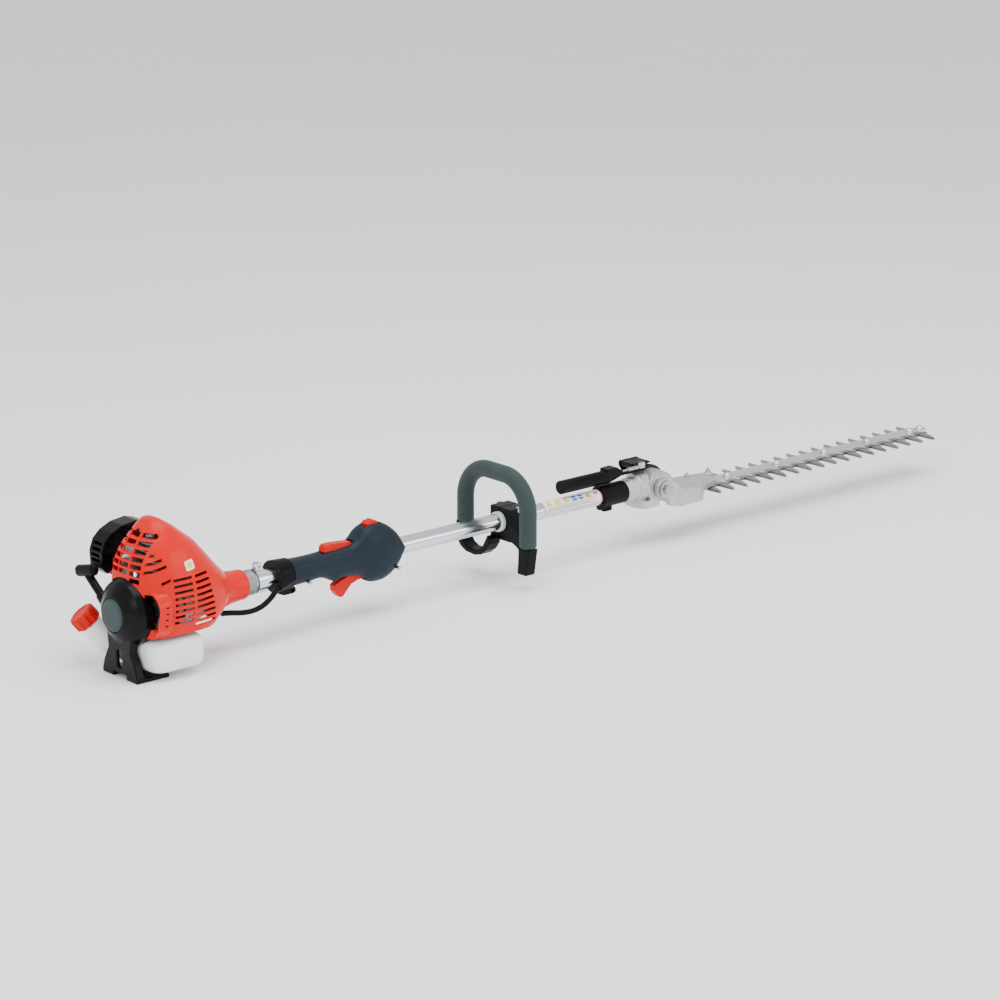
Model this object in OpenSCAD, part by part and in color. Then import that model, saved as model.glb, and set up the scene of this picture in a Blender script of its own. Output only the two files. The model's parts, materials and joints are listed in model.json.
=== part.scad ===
// Pole hedge trimmer: small petrol engine, drive tube with grips, articulated double-sided cutter.
// x runs along the drive tube to the blade tip, z is up, the floor under the stand is z = 0.

/* [Overall] */
// Height of the drive tube's axis above the floor
axis_z = 92; // [80:1:110]
// Distance from the starter's outer face to the middle of the stand's foot
foot_x = 38; // [30:1:60]
// Outer diameter of the drive tube
tube_d = 25.4; // [22:0.1:30]
// Wall of the drive tube
tube_wall = 1.6; // [1.2:0.1:2.5]
// Where the drive tube ends in the head
tube_end = 962; // [900:1:1000]

/* [Engine] */
// Radius of the starter's round badge
badge_r = 23.4; // [18:0.1:28]
// Radius of the recoil starter's housing
starter_r = 49; // [40:1:60]
// Half width of the stand at the floor
stand_w = 41; // [30:1:50]
// Thickness of the stand's plates
stand_t = 6; // [4:0.5:10]
// Wall of the moulded covers
wall = 3; // [2:0.5:5]
// Position of the cylinder along the tube axis
cyl_x = 82; // [70:1:95]
// Number of cooling fins on the cylinder
fin_count = 11; // [6:1:16]
// Number of blades on the flywheel
fan_blades = 16; // [8:1:24]

/* [Handles] */
// Rear end of the rear grip
grip_x = 275; // [260:1:300]
// Lockout and trigger pivot pin radius
pin_r = 2; // [1.5:0.1:3]
// Position of the loop handle along the tube
loop_x = 697; // [600:1:800]
// Half distance between the loop's legs
loop_y = 71; // [60:1:90]
// Height of the loop's centreline above the tube axis
loop_z = 78; // [60:1:100]
// Radius of the loop's corners
loop_bend = 52; // [35:1:65]
// Radius of the loop's soft grip
foam_r = 13; // [10:0.5:16]
// Radius of the rod inside the soft grip
rod_r = 6.5; // [6:0.5:10]

/* [Head] */
// Position of the head's pivot along the tube
pivot_x = 1013; // [1000:1:1030]
// Radius of the fixed knuckle
knuckle_r = 26; // [22:0.5:28]
// Tip radius of the toothed quadrant
quadrant_r = 31; // [28:0.5:34]
// Teeth on each bevel gear
bevel_teeth = 14; // [10:1:20]

/* [Blades] */
// Distance from tooth to tooth
pitch = 29; // [25:0.5:36]
// Number of teeth on each side of a blade
tooth_count = 18; // [10:1:24]
// Reach of the tooth tips from the middle
tooth_reach = 45; // [35:1:55]
// First tooth along the tube
tooth_x = 1122; // [1100:1:1150]
// Thickness of one blade
blade_t = 2; // [1.5:0.1:3]
// Travel of each blade each way from the middle
half_stroke = 7.25; // [5:0.25:9]
// Width of the guide bar
bar_w = 28; // [20:1:34]

/* [Hidden] */
$fn = 64;
tube_r = tube_d / 2;
tube_in = tube_r - tube_wall;
gap = 0.3;
bar_top = -17;
bar_low = bar_top - 4;
blade_top = bar_low - gap;
blade_low = blade_top - blade_t - gap;
bolt_x = [1180, 1291, 1400, 1502, 1603, 1628];
slot_len = 2 * (3 + half_stroke + 0.5);

// Shared helpers, all in the tube's own frame: x from the starter's face, y and z from the tube axis.
module place() {
  translate([-foot_x, 0, axis_z]) children();
}
module xcyl(x0, x1, r, r2 = -1) {
  translate([x0, 0, 0]) rotate([0, 90, 0]) cylinder(h = x1 - x0, r1 = r, r2 = r2 < 0 ? r : r2);
}
module xtube(x0, x1, ro, ri) {
  difference() {
    xcyl(x0, x1, ro);
    xcyl(x0 - 1, x1 + 1, ri);
  }
}
module ycyl(y0, y1, r, x, z) {
  translate([x, y1, z]) rotate([90, 0, 0]) cylinder(h = y1 - y0, r = r);
}
module zcyl(z0, z1, r, x, y) {
  translate([x, y, z0]) cylinder(h = z1 - z0, r = r);
}
module xz_plate(pts, y0, y1) {
  translate([0, y1, 0]) rotate([90, 0, 0]) linear_extrude(y1 - y0) polygon(pts);
}
module yz_plate(pts, x0, x1) {
  translate([x0, 0, 0]) rotate([90, 0, 90]) linear_extrude(x1 - x0) polygon(pts);
}
module box(a, b) {
  translate(a) cube(b - a);
}
module rod(a, b, r) {
  d = b - a;
  l = norm(d);
  translate(a) rotate([0, acos(d[2] / l), atan2(d[1], d[0])]) cylinder(h = l, r = r);
}
function rope_at(t) = [18, 11.4 + 0.8 * t, -15.2 + 0.6 * t];
function unit(v) = v / norm(v);
function heading(p, i) = unit(p[min(i + 1, len(p) - 1)] - p[max(i - 1, 0)]);
module sweep(path, r, side, n = 16) {
  rings = [for (i = [0:len(path) - 1])
    let (t = heading(path, i), b = unit(cross(t, side)), c = cross(b, t))
      for (j = [0:n - 1]) path[i] + r * (cos(360 * j / n) * c + sin(360 * j / n) * b)];
  last = (len(path) - 1) * n;
  walls = [for (i = [0:len(path) - 2]) for (j = [0:n - 1])
    [i * n + j, (i + 1) * n + j, (i + 1) * n + (j + 1) % n, i * n + (j + 1) % n]];
  ends = [[for (j = [0:n - 1]) j], [for (j = [n - 1:-1:0]) last + j]];
  polyhedron(rings, concat(walls, ends), convexity = 8);
}

// Engine shroud
slot_step = 8.6;
shroud_side = [[24, -28], [24, 60], [29, 92], [44, 118], [60, 129], [84, 125], [112, 105], [134, 84], [156, 59],
  [177, 33], [192, 25], [192, -25], [180, -38], [150, -33], [100, -28]];
shroud_rear = [[-54, -28], [-64, -20], [-66, 10], [-60, 50], [-45, 92], [-22, 120], [0, 131], [20, 127], [36, 104],
  [44, 62], [44, 0], [40, -40], [-50, -40]];
shroud_top = [[22, -50], [40, -66], [125, -66], [165, -45], [193, -25], [193, 25], [165, 38], [120, 44], [22, 44]];
module shroud_body(inset) {
  intersection() {
    rotate([90, 0, 0]) linear_extrude(300, center = true) offset(delta = -inset) polygon(shroud_side);
    rotate([90, 0, 90]) linear_extrude(240) offset(delta = -inset) polygon(shroud_rear);
    translate([0, 0, -60]) linear_extrude(220) offset(delta = -inset) polygon(shroud_top);
  }
}
guard_plan = [[34, -45], [43, -71], [48, -74], [76, -74], [84, -68], [96, -45]];
module guard_body(inset) {
  intersection() {
    translate([0, 0, -28]) linear_extrude(70) offset(delta = -inset) polygon(guard_plan);
    rotate([90, 0, 90]) linear_extrude(140)
      polygon([[-40, 44 - inset], [-58, 41 - inset], [-76 + inset, 31 - inset], [-76 + inset, -16], [-68, -40], [-40, -40]]);
  }
}
module engine_cover() {
  color([0.86, 0.06, 0.03]) place() difference() {
    union() {
      shroud_body(0);
      xcyl(176, 196, 32, 24);
      xcyl(196, 240, 24, 21);
      guard_body(0);
    }
    difference() {
      shroud_body(wall);
      box([20, -80, -60], [36, -57, 140]);
    }
    box([26, -55, -45], [186, 41, -20]);
    xcyl(20, 60, starter_r + 0.5);
    xcyl(150, 250, 19);
    xcyl(150, 178, 30, 26);
    intersection() {
      guard_body(wall);
      box([30, -80, -60], [90, -50, 60]);
    }
    box([30, -68, -2], [46, -50, 36]);
    for (row = [0:5]) {
      for (col = [0:2]) box([10, -30 + 22 * col, 54 + 9 * row], [60, -14 + 22 * col, 59.5 + 9 * row]);
    }
    for (row = [0:8]) {
      box([99, -80, -20 + slot_step * row], [131 - 1.6 * row, -40, -16 + slot_step * row]);
      if (row > 0) box([86, -80, -20 + slot_step * row], [94, -50, -16 + slot_step * row]);
    }
    for (row = [0:3]) translate([40 + 4 * row, 0, 72 - 12 * row]) rotate([0, -14, 0]) box([0, -80, 0], [22, -40, 5]);
    box([46, 35, 26], [104, 60, 82]);
    ycyl(-80, -50, 4.4, 90, -16);
    zcyl(100, 140, 9, cyl_x - 14, 8);
    rod([168, -11, -30.6], [200, -16, -34.4], 5.4);
  }
}

// Recoil starter with its stand
module starter_cover() {
  color([0.03, 0.03, 0.035]) place() difference() {
    union() {
      translate([0, 0, 0]) rotate([0, 90, 0]) rotate_extrude()
        polygon([[0, 1], [26, 1], [28, 2], [38, 8], [45, 14], [starter_r, 22], [starter_r, 37], [0, 37]]);
      yz_plate([[-30, -20], [-26, -52], [-36, -70], [-stand_w, -86], [-stand_w, -axis_z], [stand_w, -axis_z],
        [stand_w, -86], [36, -70], [26, -52], [30, -20]], 10, 23);
      box([12, -stand_w, -axis_z], [64, stand_w, -axis_z + stand_t]);
      rod(rope_at(36), rope_at(50), 8);
    }
    translate([wall, 0, 0]) rotate([0, 90, 0]) rotate_extrude()
      polygon([[0, 2], [27, 2], [36, 9], [starter_r - wall, 21], [starter_r - wall, 40], [0, 40]]);
    box([16, -24, -80], [30, 24, -48]);
    box([5, -6, -77], [30, 6, -52]);
    box([5, -15, -axis_z - 1], [26, 15, -85]);
    rod(rope_at(4), rope_at(60), 2.4);
    xcyl(-1, 4.2, badge_r + 0.2);
  }
}
module starter_badge() {
  color([0.16, 0.2, 0.21]) place() union() {
    xcyl(-1.2, 0, badge_r - 1.5, badge_r);
    xcyl(0, 4.2, badge_r);
  }
}
module starter_reel() {
  color([0.1, 0.1, 0.1]) place() difference() {
    union() {
      xcyl(14, 16, 25);
      xcyl(16, 20, 17.4);
      xcyl(20, 22, 28);
      xcyl(8.5, 30, 7);
    }
    xcyl(7, 31, 4);
  }
}
module starter_rope() {
  color([0.75, 0.75, 0.72]) place() rod(rope_at(2), rope_at(70), 1.5);
}
module starter_grip() {
  color([0.03, 0.03, 0.035]) place() difference() {
    union() {
      rod(rope_at(50.6), rope_at(86), 6);
      translate([18, 84, 42]) rotate([-14, 0, 0]) hull() {
        for (y = [-17, 17]) {
          for (z = [-1.5, 1.5]) translate([0, y, z]) sphere(7, $fn = 28);
        }
      }
    }
    rod(rope_at(50), rope_at(71), 1.55);
  }
}

// Power unit
module flywheel() {
  color([0.6, 0.61, 0.62]) place() difference() {
    union() {
      xcyl(50, 54, 38);
      xcyl(40, 62, 10);
      for (i = [0:fan_blades - 1]) rotate([360 / fan_blades * i, 0, 0]) box([40, 20, -1], [51, 36.5, 1]);
      rotate([20, 0, 0]) box([53, 24, -9], [60, 34, 9]);
    }
    xcyl(30, 70, 6);
  }
}
module crankshaft() {
  color([0.5, 0.5, 0.52]) place() union() {
    xcyl(34, 118, 6);
    xcyl(cyl_x - 6, cyl_x + 6, 21);
  }
}
module crankcase() {
  color([0.62, 0.63, 0.64]) place() difference() {
    union() {
      xcyl(64, 100, 30);
      box([60, -24, -30], [100.6, 24, 0]);
      box([60, -26, 20], [100.6, 26, 31]);
      for (y = [-28, 28]) box([66, y - 5, -31], [98, y + 5, -16]);
    }
    xcyl(50, 110, 6.06);
    xcyl(cyl_x - 8, cyl_x + 8, 23);
    zcyl(0, 40, 16.5, cyl_x, 0);
    xcyl(60, 66, 12);
    xcyl(98, 101, 12);
  }
}
module cylinder_fin(z, r) {
  intersection() {
    zcyl(z, z + 2, r, cyl_x, 0);
    box([cyl_x - 27, -32, z], [cyl_x + 27, 32, z + 2]);
  }
}
module cylinder_block() {
  difference() {
    union() {
      zcyl(34.3, 100, 21, cyl_x, 0);
      for (i = [0:fin_count - 1]) cylinder_fin(38 + 6 * i, i < 8 ? 33 : 33 - 3 * (i - 7));
      box([cyl_x - 12, -40, 50], [cyl_x + 12, -15, 72]);
      box([cyl_x - 11, 15, 46], [cyl_x + 11, 38, 68]);
      box([cyl_x - 18, -22, 31], [cyl_x + 18, 22, 35]);
    }
    zcyl(30, 88, 16.5, cyl_x, 0);
    ycyl(-50, -10, 7, cyl_x, 61);
    ycyl(10, 50, 6, cyl_x, 57);
    translate([cyl_x - 12, 0, 98]) rotate([0, -20, 0]) cylinder(h = 60, r = 5, center = true);
  }
}
module cylinder_node() {
  color([0.66, 0.67, 0.68]) place() cylinder_block();
}
module piston() {
  color([0.72, 0.72, 0.73]) place() difference() {
    zcyl(44, 70, 16.44, cyl_x, 0);
    zcyl(40, 64, 13.5, cyl_x, 0);
    for (z = [65.5, 68]) translate([cyl_x, 0, z]) difference() {
      cylinder(h = 1, r = 18);
      translate([0, 0, -1]) cylinder(h = 3, r = 15.6);
    }
  }
}
module plug_tilt() {
  translate([cyl_x - 12, 0, 98]) rotate([0, -20, 0]) children();
}
module spark_plug() {
  color([0.9, 0.9, 0.88]) place() plug_tilt() union() {
    translate([0, 0, -8]) cylinder(h = 14, r = 4.95);
    translate([0, 0, 5.4]) cylinder(h = 3.4, r = 7.5, $fn = 6);
    translate([0, 0, 6]) cylinder(h = 14, r = 4);
  }
}
module plug_cap() {
  color([0.04, 0.04, 0.04]) place() plug_tilt() difference() {
    union() {
      translate([0, 0, 9]) cylinder(h = 14, r = 7);
      translate([0, 0, 19]) rotate([0, -90, 0]) cylinder(h = 18, r = 4.5);
    }
    translate([0, 0, 7]) cylinder(h = 13, r = 4.1);
  }
}
module muffler() {
  color([0.35, 0.34, 0.33]) place() difference() {
    union() {
      box([54, -49, 20], [106, -42.3, 68]);
      box([cyl_x - 16, -42.4, 48], [cyl_x + 16, -40.1, 74]);
      box([48, -65, -20], [73, -46, 23]);
    }
    box([50, -63, -18], [71, -48, 21]);
    ycyl(-46, -30, 7, cyl_x, 60);
    ycyl(-80, -60, 6, 60, -4);
  }
}

// Fuel and air
module carburetor() {
  color([0.7, 0.7, 0.71]) place() difference() {
    union() {
      box([64, 38.3, 42], [100, 62, 74]);
      xcyl_at(50, 66, 7, 50, 58);
      zcyl(72, 82, 6, 74, 50);
      ycyl(61, 66, 13, cyl_x, 58);
      box([62.4, 45, 25], [70, 62, 45]);
    }
    ycyl(30, 70, 8, cyl_x, 57);
    xcyl_at(48, 60, 2.06, 50, 58);
  }
}
module xcyl_at(x0, x1, r, y, z) {
  translate([0, y, z]) xcyl(x0, x1, r);
}
module primer_bulb() {
  color([0.85, 0.87, 0.84]) place() translate([58, 55, 35]) rotate([0, -90, 0]) difference() {
    union() {
      cylinder(h = 4, r = 10);
      translate([0, 0, 4]) scale(1) sphere(8.5);
    }
    translate([0, 0, -20]) cylinder(h = 20, r = 30);
  }
}
module choke_lever() {
  color([0.8, 0.05, 0.03]) place() translate([0, 50, 58]) union() {
    xcyl(46, 59, 2);
    box([42, -4.5, -18], [46.2, 4.5, 4]);
    box([36, -4.5, -18], [44, 4.5, -14]);
  }
}
module air_cleaner_case() {
  color([0.035, 0.035, 0.04]) place() difference() {
    xz_plate([[33, 44], [32, 66], [38, 82], [50, 93], [68, 101], [92, 104], [108, 100], [117, 88], [117, 46],
      [108, 36], [40, 36]], 66.3, 98);
    xz_plate([[37, 46], [36, 66], [42, 80], [52, 89], [69, 97], [92, 100], [106, 96], [113, 86], [113, 48],
      [106, 40], [42, 40]], 70, 95);
    ycyl(60, 75, 9, cyl_x, 58);
    for (z = [52:8:76]) box([25, 72, z], [48, 92, z + 4]);
  }
}
module air_filter() {
  color([0.2, 0.2, 0.18]) place() box([52, 80, 46], [106, 94, 88]);
}
function round_rect(x0, x1, y0, y1, r) = [for (c = [[x1 - r, y1 - r, 0], [x0 + r, y1 - r, 90], [x0 + r, y0 + r, 180],
  [x1 - r, y0 + r, 270]]) for (a = [0:15:90]) [c[0] + r * cos(c[2] + a), c[1] + r * sin(c[2] + a)]];
module tank_block(w) {
  difference() {
    intersection() {
      xz_plate(round_rect(28 + w, 118 - w, -82 + w, -34 - w, 16), -63 + w, 68 - w);
      translate([0, 0, -90]) linear_extrude(70) polygon(round_rect(28 + w, 118 - w, -63 + w, 68 - w, 20));
      yz_plate(round_rect(-63 + w, 68 - w, -82 + w, -34 - w, 14), 20, 130);
      yz_plate([[-80, -82 + w], [20, -82 + w], [80, -62 + w], [80, 0], [-80, 0]], 20, 130);
    }
    xcyl(20, 37.6 + w, starter_r + 0.6 + w);
    xcyl(37, 64 + w, 39.5 + w);
  }
}
// The filler points up and back from the tank's far corner.
filler_axis = [-0.5633, 0.2989, 0.7703];
filler = [15.3, 78, -31.3];
module at_filler() {
  translate(filler) rotate([0, acos(filler_axis[2]), atan2(filler_axis[1], filler_axis[0])]) children();
}
module fuel_tank() {
  color([0.86, 0.89, 0.88]) place() difference() {
    union() {
      tank_block(0);
      rod(filler - 50 * filler_axis, filler - 1 * filler_axis, 17);
      rod(filler - 5 * filler_axis, filler + 9 * filler_axis, 12);
    }
    tank_block(2);
    rod(filler - 38 * filler_axis, filler + 12 * filler_axis, 10);
    box([0, 40, -120], [80, 120, -81.9]);
    xcyl(10, 37.6, starter_r + 0.6);
  }
}
module fuel_cap() {
  color([0.8, 0.05, 0.03]) place() difference() {
    at_filler() union() {
      cylinder(h = 20, r = 19.4);
      for (a = [0:45:315]) rotate([0, 0, a]) translate([17.6, 0, 1]) cylinder(h = 17, r = 3, $fn = 24);
    }
    at_filler() translate([0, 0, -1]) cylinder(h = 13, r = 12.06);
  }
}

// Clutch and drive
module clutch_shoes() {
  color([0.45, 0.44, 0.43]) place() difference() {
    xcyl(107, 116, 25);
    xcyl(100, 118, 6);
    for (a = [0, 90]) rotate([a, 0, 0]) box([106, 10, -1.5], [117, 30, 1.5]);
    for (a = [0, 90]) rotate([a, 0, 0]) box([106, -30, -1.5], [117, -10, 1.5]);
  }
}
module clutch_drum() {
  color([0.52, 0.52, 0.53]) place() difference() {
    union() {
      xcyl(106, 124, 29);
      xcyl(123, 150, 9);
    }
    xcyl(105, 120, 26.5);
    xcyl(122, 151, 4);
  }
}
module clutch_housing() {
  color([0.62, 0.63, 0.64]) place() difference() {
    union() {
      xcyl(101, 132, 34);
      xcyl(132, 176, 34, 18.5);
      xcyl(176, 236, 18.5);
    }
    xcyl(100, 128, 30);
    xcyl(127, 150, 9.4);
    xcyl(149, 180, 5);
    xcyl(178, 240, tube_r);
  }
}
module tube_clamp() {
  color([0.8, 0.81, 0.83]) place() difference() {
    union() {
      xcyl(241, 256, 18);
      box([243, -6, 14], [254, 6, 26]);
    }
    xcyl(235, 260, tube_r);
    box([235, -1, 10], [260, 1, 30]);
    ycyl(-10, 10, 2.5, 248.5, 21);
  }
}
module drive_tube() {
  color([0.86, 0.87, 0.89]) place() xtube(180, tube_end, tube_r, tube_in);
}
module drive_shaft() {
  color([0.55, 0.55, 0.57]) place() xcyl(122, pivot_x - 14, 4);
}
module shaft_bushes() {
  color([0.12, 0.12, 0.12]) place() for (x = [300, 500, 700, 900]) xtube(x, x + 16, tube_in, 4.06);
}

// Throttle cable's outer conduit
conduit_path = [[176, -12, -31], [184, -13, -31.6], [194, -15, -33.2], [204, -17.4, -35.4], [214, -19.4, -37],
  [224, -20.8, -37.4], [233, -21.6, -36.4], [242, -21.9, -33.8], [250, -21.6, -30], [258, -20.6, -24.8],
  [265, -19.2, -18.8], [271, -18.2, -13], [277, -17.6, -7.6], [283, -17.3, -3.6], [290, -17.2, -2], [297, -17.2, -1.6]];
module throttle_conduit() {
  color([0.03, 0.03, 0.03]) place() union() {
    sweep(conduit_path, 4.2, [0, 1, 0]);
  }
}

// Rear grip
grip_profile = [[302, -20], [302, 21], [330, 19], [366, 19.5], [412, 23], [424, 32], [434, 42], [444, 46], [458, 47],
  [474, 43], [492, 31], [503, 15], [507, 0], [504, -16], [488, -33], [474, -41], [460, -43], [446, -41], [439, -31],
  [430, -25], [392, -24], [388, -32], [379, -31], [375, -19], [340, -19]];
grip_plan = [[300, -19], [310, -17.5], [360, -17], [400, -19], [430, -24], [470, -26], [494, -24], [509, -18], [509, 18],
  [494, 24], [470, 26], [430, 24], [400, 19], [360, 17], [310, 17.5], [300, 19]];
module grip_solid() {
  intersection() {
    rotate([90, 0, 0]) linear_extrude(80, center = true) polygon(grip_profile);
    translate([0, 0, -60]) linear_extrude(120) polygon(grip_plan);
  }
}
module grip_hollows() {
  xcyl(290, 520, tube_r);
  box([376, -6.5, -50], [440, 6.5, -10]);
  box([425, -10, -36], [470, 10, -8]);
  box([362, -7.5, 10], [418, 7.5, 40]);
  box([440, -8.5, 36], [470, 8.5, 60]);
  box([437, -14, 14], [474, 14, 36]);
  for (x = [330, 488]) {
    ycyl(-40, 40, 1.6, x, x < 400 ? -16 : -24);
    ycyl(-40, -11.9, 2.85, x, x < 400 ? -16 : -24);
  }
}
module grip_near_shell() {
  color([0.13, 0.17, 0.2]) place() intersection() {
    difference() {
      grip_solid();
      grip_hollows();
      ycyl(-9, 9, pin_r, 432, -22);
      ycyl(-9, 9, 1.5, 414, 19);
    }
    box([250, -60, -80], [560, 0, 80]);
  }
}
module grip_far_shell() {
  color([0.13, 0.17, 0.2]) place() intersection() {
    difference() {
      grip_solid();
      grip_hollows();
      ycyl(-9, 9, pin_r, 432, -22);
      ycyl(-9, 9, 1.5, 414, 19);
    }
    box([250, 0, -80], [560, 60, 80]);
  }
}
module grip_end_cap() {
  color([0.035, 0.04, 0.045]) place() difference() {
    union() {
      xcyl(275, 302, 24, 22.5);
      xz_plate([[276, -10], [301.8, -10], [301.8, -20.8], [312, -20.8], [313, -27], [308, -30], [292, -30],
        [280, -25]], -7, 7);
      rod([272, -18.2, -11], [301, -17.2, -1.8], 6.6);
    }
    xcyl(270, 310, tube_r);
    sweep(conduit_path, 4.3, [0, 1, 0]);
    ycyl(-20, 20, 2.5, 307, -25.4);
  }
}
module throttle_trigger() {
  color([0.82, 0.05, 0.03]) place() difference() {
    union() {
      xz_plate([[383, -34.5], [394, -29], [405, -25.5], [426, -18.5], [437, -19], [440, -25], [436, -33], [426, -34],
        [414, -38], [405, -47], [399, -53.5], [394, -54], [390, -51], [384, -43]], -6, 6);
      ycyl(-6, 6, 5, 432, -22);
    }
    ycyl(-10, 10, pin_r + 0.05, 432, -22);
  }
}
module trigger_spring() {
  color([0.6, 0.6, 0.6]) place() union() {
    for (y = [-9.2, -8]) translate([432, y, -22]) rotate([90, 0, 0]) rotate_extrude($fn = 32)
      translate([3.6, 0]) circle(0.5, $fn = 16);
    rod([432, -7.6, -18.4], [452, -7.6, -14], 0.5);
  }
}
module lockout_lever() {
  color([0.82, 0.05, 0.03]) place() difference() {
    union() {
      xz_plate([[364, 19], [366, 27], [370, 29], [380, 29.4], [412, 26.5], [417, 23], [416, 18]], -7, 7);
      ycyl(-7, 7, 3.4, 414, 19);
    }
    ycyl(-10, 10, 1.55, 414, 19);
  }
}
module stop_switch() {
  color([0.82, 0.05, 0.03]) place() union() {
    xz_plate([[444, 40], [444, 46.5], [449, 50], [453, 49], [456, 51], [460, 49.5], [463, 47], [463, 40]], -8, 8);
    box([441, -13, 30], [465, 13, 35.6]);
    box([446, -7, 35.5], [461, 7, 41]);
  }
}
module grip_screws() {
  color([0.5, 0.5, 0.5]) place() for (x = [330, 488]) {
    z = x < 400 ? -16 : -24;
    ycyl(-13, 13, 1.6, x, z);
    ycyl(x < 400 ? -19 : -26, -12, 2.8, x, z);
  }
  color([0.5, 0.5, 0.5]) place() ycyl(-9, 9, pin_r, 432, -22);
  color([0.5, 0.5, 0.5]) place() ycyl(-9, 9, 1.5, 414, 19);
}

// Loop handle
corner = [loop_y - loop_bend, loop_z - loop_bend];
function loop_path(near_end, far_end) = concat([[loop_x, -loop_y, near_end]],
  [for (a = [180:-9:90]) [loop_x, -corner[0] + loop_bend * cos(a), corner[1] + loop_bend * sin(a)]],
  [for (a = [90:-9:0]) [loop_x, corner[0] + loop_bend * cos(a), corner[1] + loop_bend * sin(a)]],
  [[loop_x, loop_y, far_end]]);
module loop_rod() {
  color([0.3, 0.3, 0.31]) place() sweep(loop_path(-44, -12.2), rod_r, [1, 0, 0], 20);
}
module loop_frame() {
  color([0.03, 0.03, 0.035]) place() difference() {
    union() {
      yz_plate([[-83, -25], [-59, -25], [-57, -66], [-76, -66]], loop_x - 9, loop_x + 9);
      yz_plate([[-0.5, 20], [-14, 19], [-24, 12], [-34, 0], [-44, -12], [-54, -21], [-57.6, -26], [-60, -28], [-60, -64],
        [-54, -64], [-50, -46], [-42, -34], [-30, -28], [-0.5, -26]], loop_x + 5, loop_x + 19);
      box([702, -26, -28], [738, -0.5, 22]);
    }
    xcyl(690, 750, tube_r + 2.5);
    zcyl(-44, -20, rod_r + 0.02, loop_x, -loop_y);
    for (z = [-22, 18.2]) {
      ycyl(-45, 1, 2.6, 722, z);
      ycyl(-70, -18, 4.8, 722, z);
    }
  }
}
module loop_clamp() {
  color([0.03, 0.03, 0.035]) place() difference() {
    union() {
      box([702, 0.5, -28], [738, 20, 22]);
      yz_plate([[6, -27], [8, -36], [16, -47], [28, -56], [40, -59], [60, -58], [74, -51], [82, -40], [84, -28],
        [83, -12.5], [60, -12.5], [62, -20], [73, -27], [73, -37], [66, -46], [56, -50.5], [42, -51], [32, -48],
        [22, -40], [15, -28], [12, -22], [8, -22]], loop_x - 9, loop_x + 14);
    }
    xcyl(690, 750, tube_r + 2.5);
    zcyl(-30, -10, rod_r, loop_x, loop_y);
    for (z = [-22, 18.2]) ycyl(-1, 30, 2.6, 722, z);
  }
}
module loop_grip() {
  color([0.19, 0.25, 0.24]) place() difference() {
    sweep(loop_path(-24, -11.8), foam_r, [1, 0, 0], 32);
    sweep(loop_path(-50, -20), rod_r + 0.05, [1, 0, 0], 20);
  }
}
module clamp_cushion() {
  color([0.85, 0.87, 0.86]) place() xtube(697, 741, tube_r + 2.5, tube_r);
}
module loop_bolts() {
  color([0.6, 0.61, 0.62]) place() for (z = [-22, 18.2]) {
    ycyl(-22, 24, 2.6, 722, z);
    ycyl(-22, -18, 4.6, 722, z);
    translate([722, 24, z]) rotate([90, 0, 0]) cylinder(h = 4, r = 5, $fn = 6);
  }
}
module tube_label() {
  color([0.95, 0.95, 0.95]) place() difference() {
    xtube(783, 900, tube_r + 0.25, tube_r);
    box([780, -20, -20], [905, 20, -4]);
    box([780, 4, -20], [905, 20, 20]);
  }
}

// Head
module head_sleeve() {
  color([0.03, 0.03, 0.035]) place() difference() {
    union() {
      xcyl(903, 953, 17.5);
      box([908, -9, -23], [924, 9, -10]);
    }
    xcyl(900, 960, tube_r);
    box([902, -1, -30], [930, 1, -10]);
    ycyl(-20, 20, 2.2, 916, -19);
  }
}
module knuckle_cut() {
  ycyl(-60, 60, 31.2, pivot_x, 0);
}
module input_case() {
  color([0.72, 0.74, 0.74]) place() difference() {
    union() {
      xcyl(953.3, 962, 17);
      xcyl(962, 976, 19.5);
      xcyl(975, 1006, 22.5);
      intersection() {
        ycyl(-24, 24, knuckle_r, pivot_x, 0);
        xcyl(970, 1050, 29);
      }
      ycyl(-34.6, 34.6, 12, pivot_x, 0);
      intersection() {
        zcyl(-29, -17, 41, pivot_x, 0);
        box([960, -24, -40], [pivot_x - 2, 24, 0]);
      }
      intersection() {
        zcyl(-29, -17, 41, pivot_x, 0);
        box([960, -45, -40], [pivot_x - 34, 45, 0]);
      }
      for (y = [-14, 14]) ycyl(y - 3, y + 3, 5, 984, 18.5);
      box([978, -17, 0], [990, 17, 23]);
    }
    xcyl(950, 965, tube_r);
    xcyl(960, 1000, 8);
    xcyl(980, pivot_x + 14, 15);
    ycyl(-18, 18, 15, pivot_x, 0);
    ycyl(-40, 40, 4, pivot_x, 0);
    for (y = [-14, 14]) zcyl(-30, -15, 2.6, 990, y);
  }
}
module quadrant() {
  color([0.05, 0.05, 0.055]) place() difference() {
    intersection() {
      union() {
        ycyl(3, 9, 28, pivot_x, 0);
        for (a = [22:9:112]) translate([pivot_x, 0, 0]) rotate([0, -a, 0]) translate([0, 3, 0])
          xz_plate([[27, -2], [quadrant_r, -1.1], [quadrant_r, 1.1], [27, 2]], 0, 6);
      }
      xz_plate([[pivot_x, 0], [pivot_x + 60, 20], [pivot_x + 40, 60], [pivot_x - 25, 60]], 0, 12);
    }
    ycyl(0, 12, knuckle_r + 0.1, pivot_x, 0);
  }
}
module pivot_bolts() {
  color([0.75, 0.76, 0.77]) place() for (s = [-1, 1]) scale(1) mirror([0, s < 0 ? 1 : 0, 0]) union() {
    ycyl(24, 36, 4, pivot_x, 0);
    ycyl(35.6, 38, 13.5, pivot_x, 0);
    translate([pivot_x, 42, 0]) rotate([90, 0, 0]) cylinder(h = 4.5, r = 8, $fn = 6);
  }
}
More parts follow.
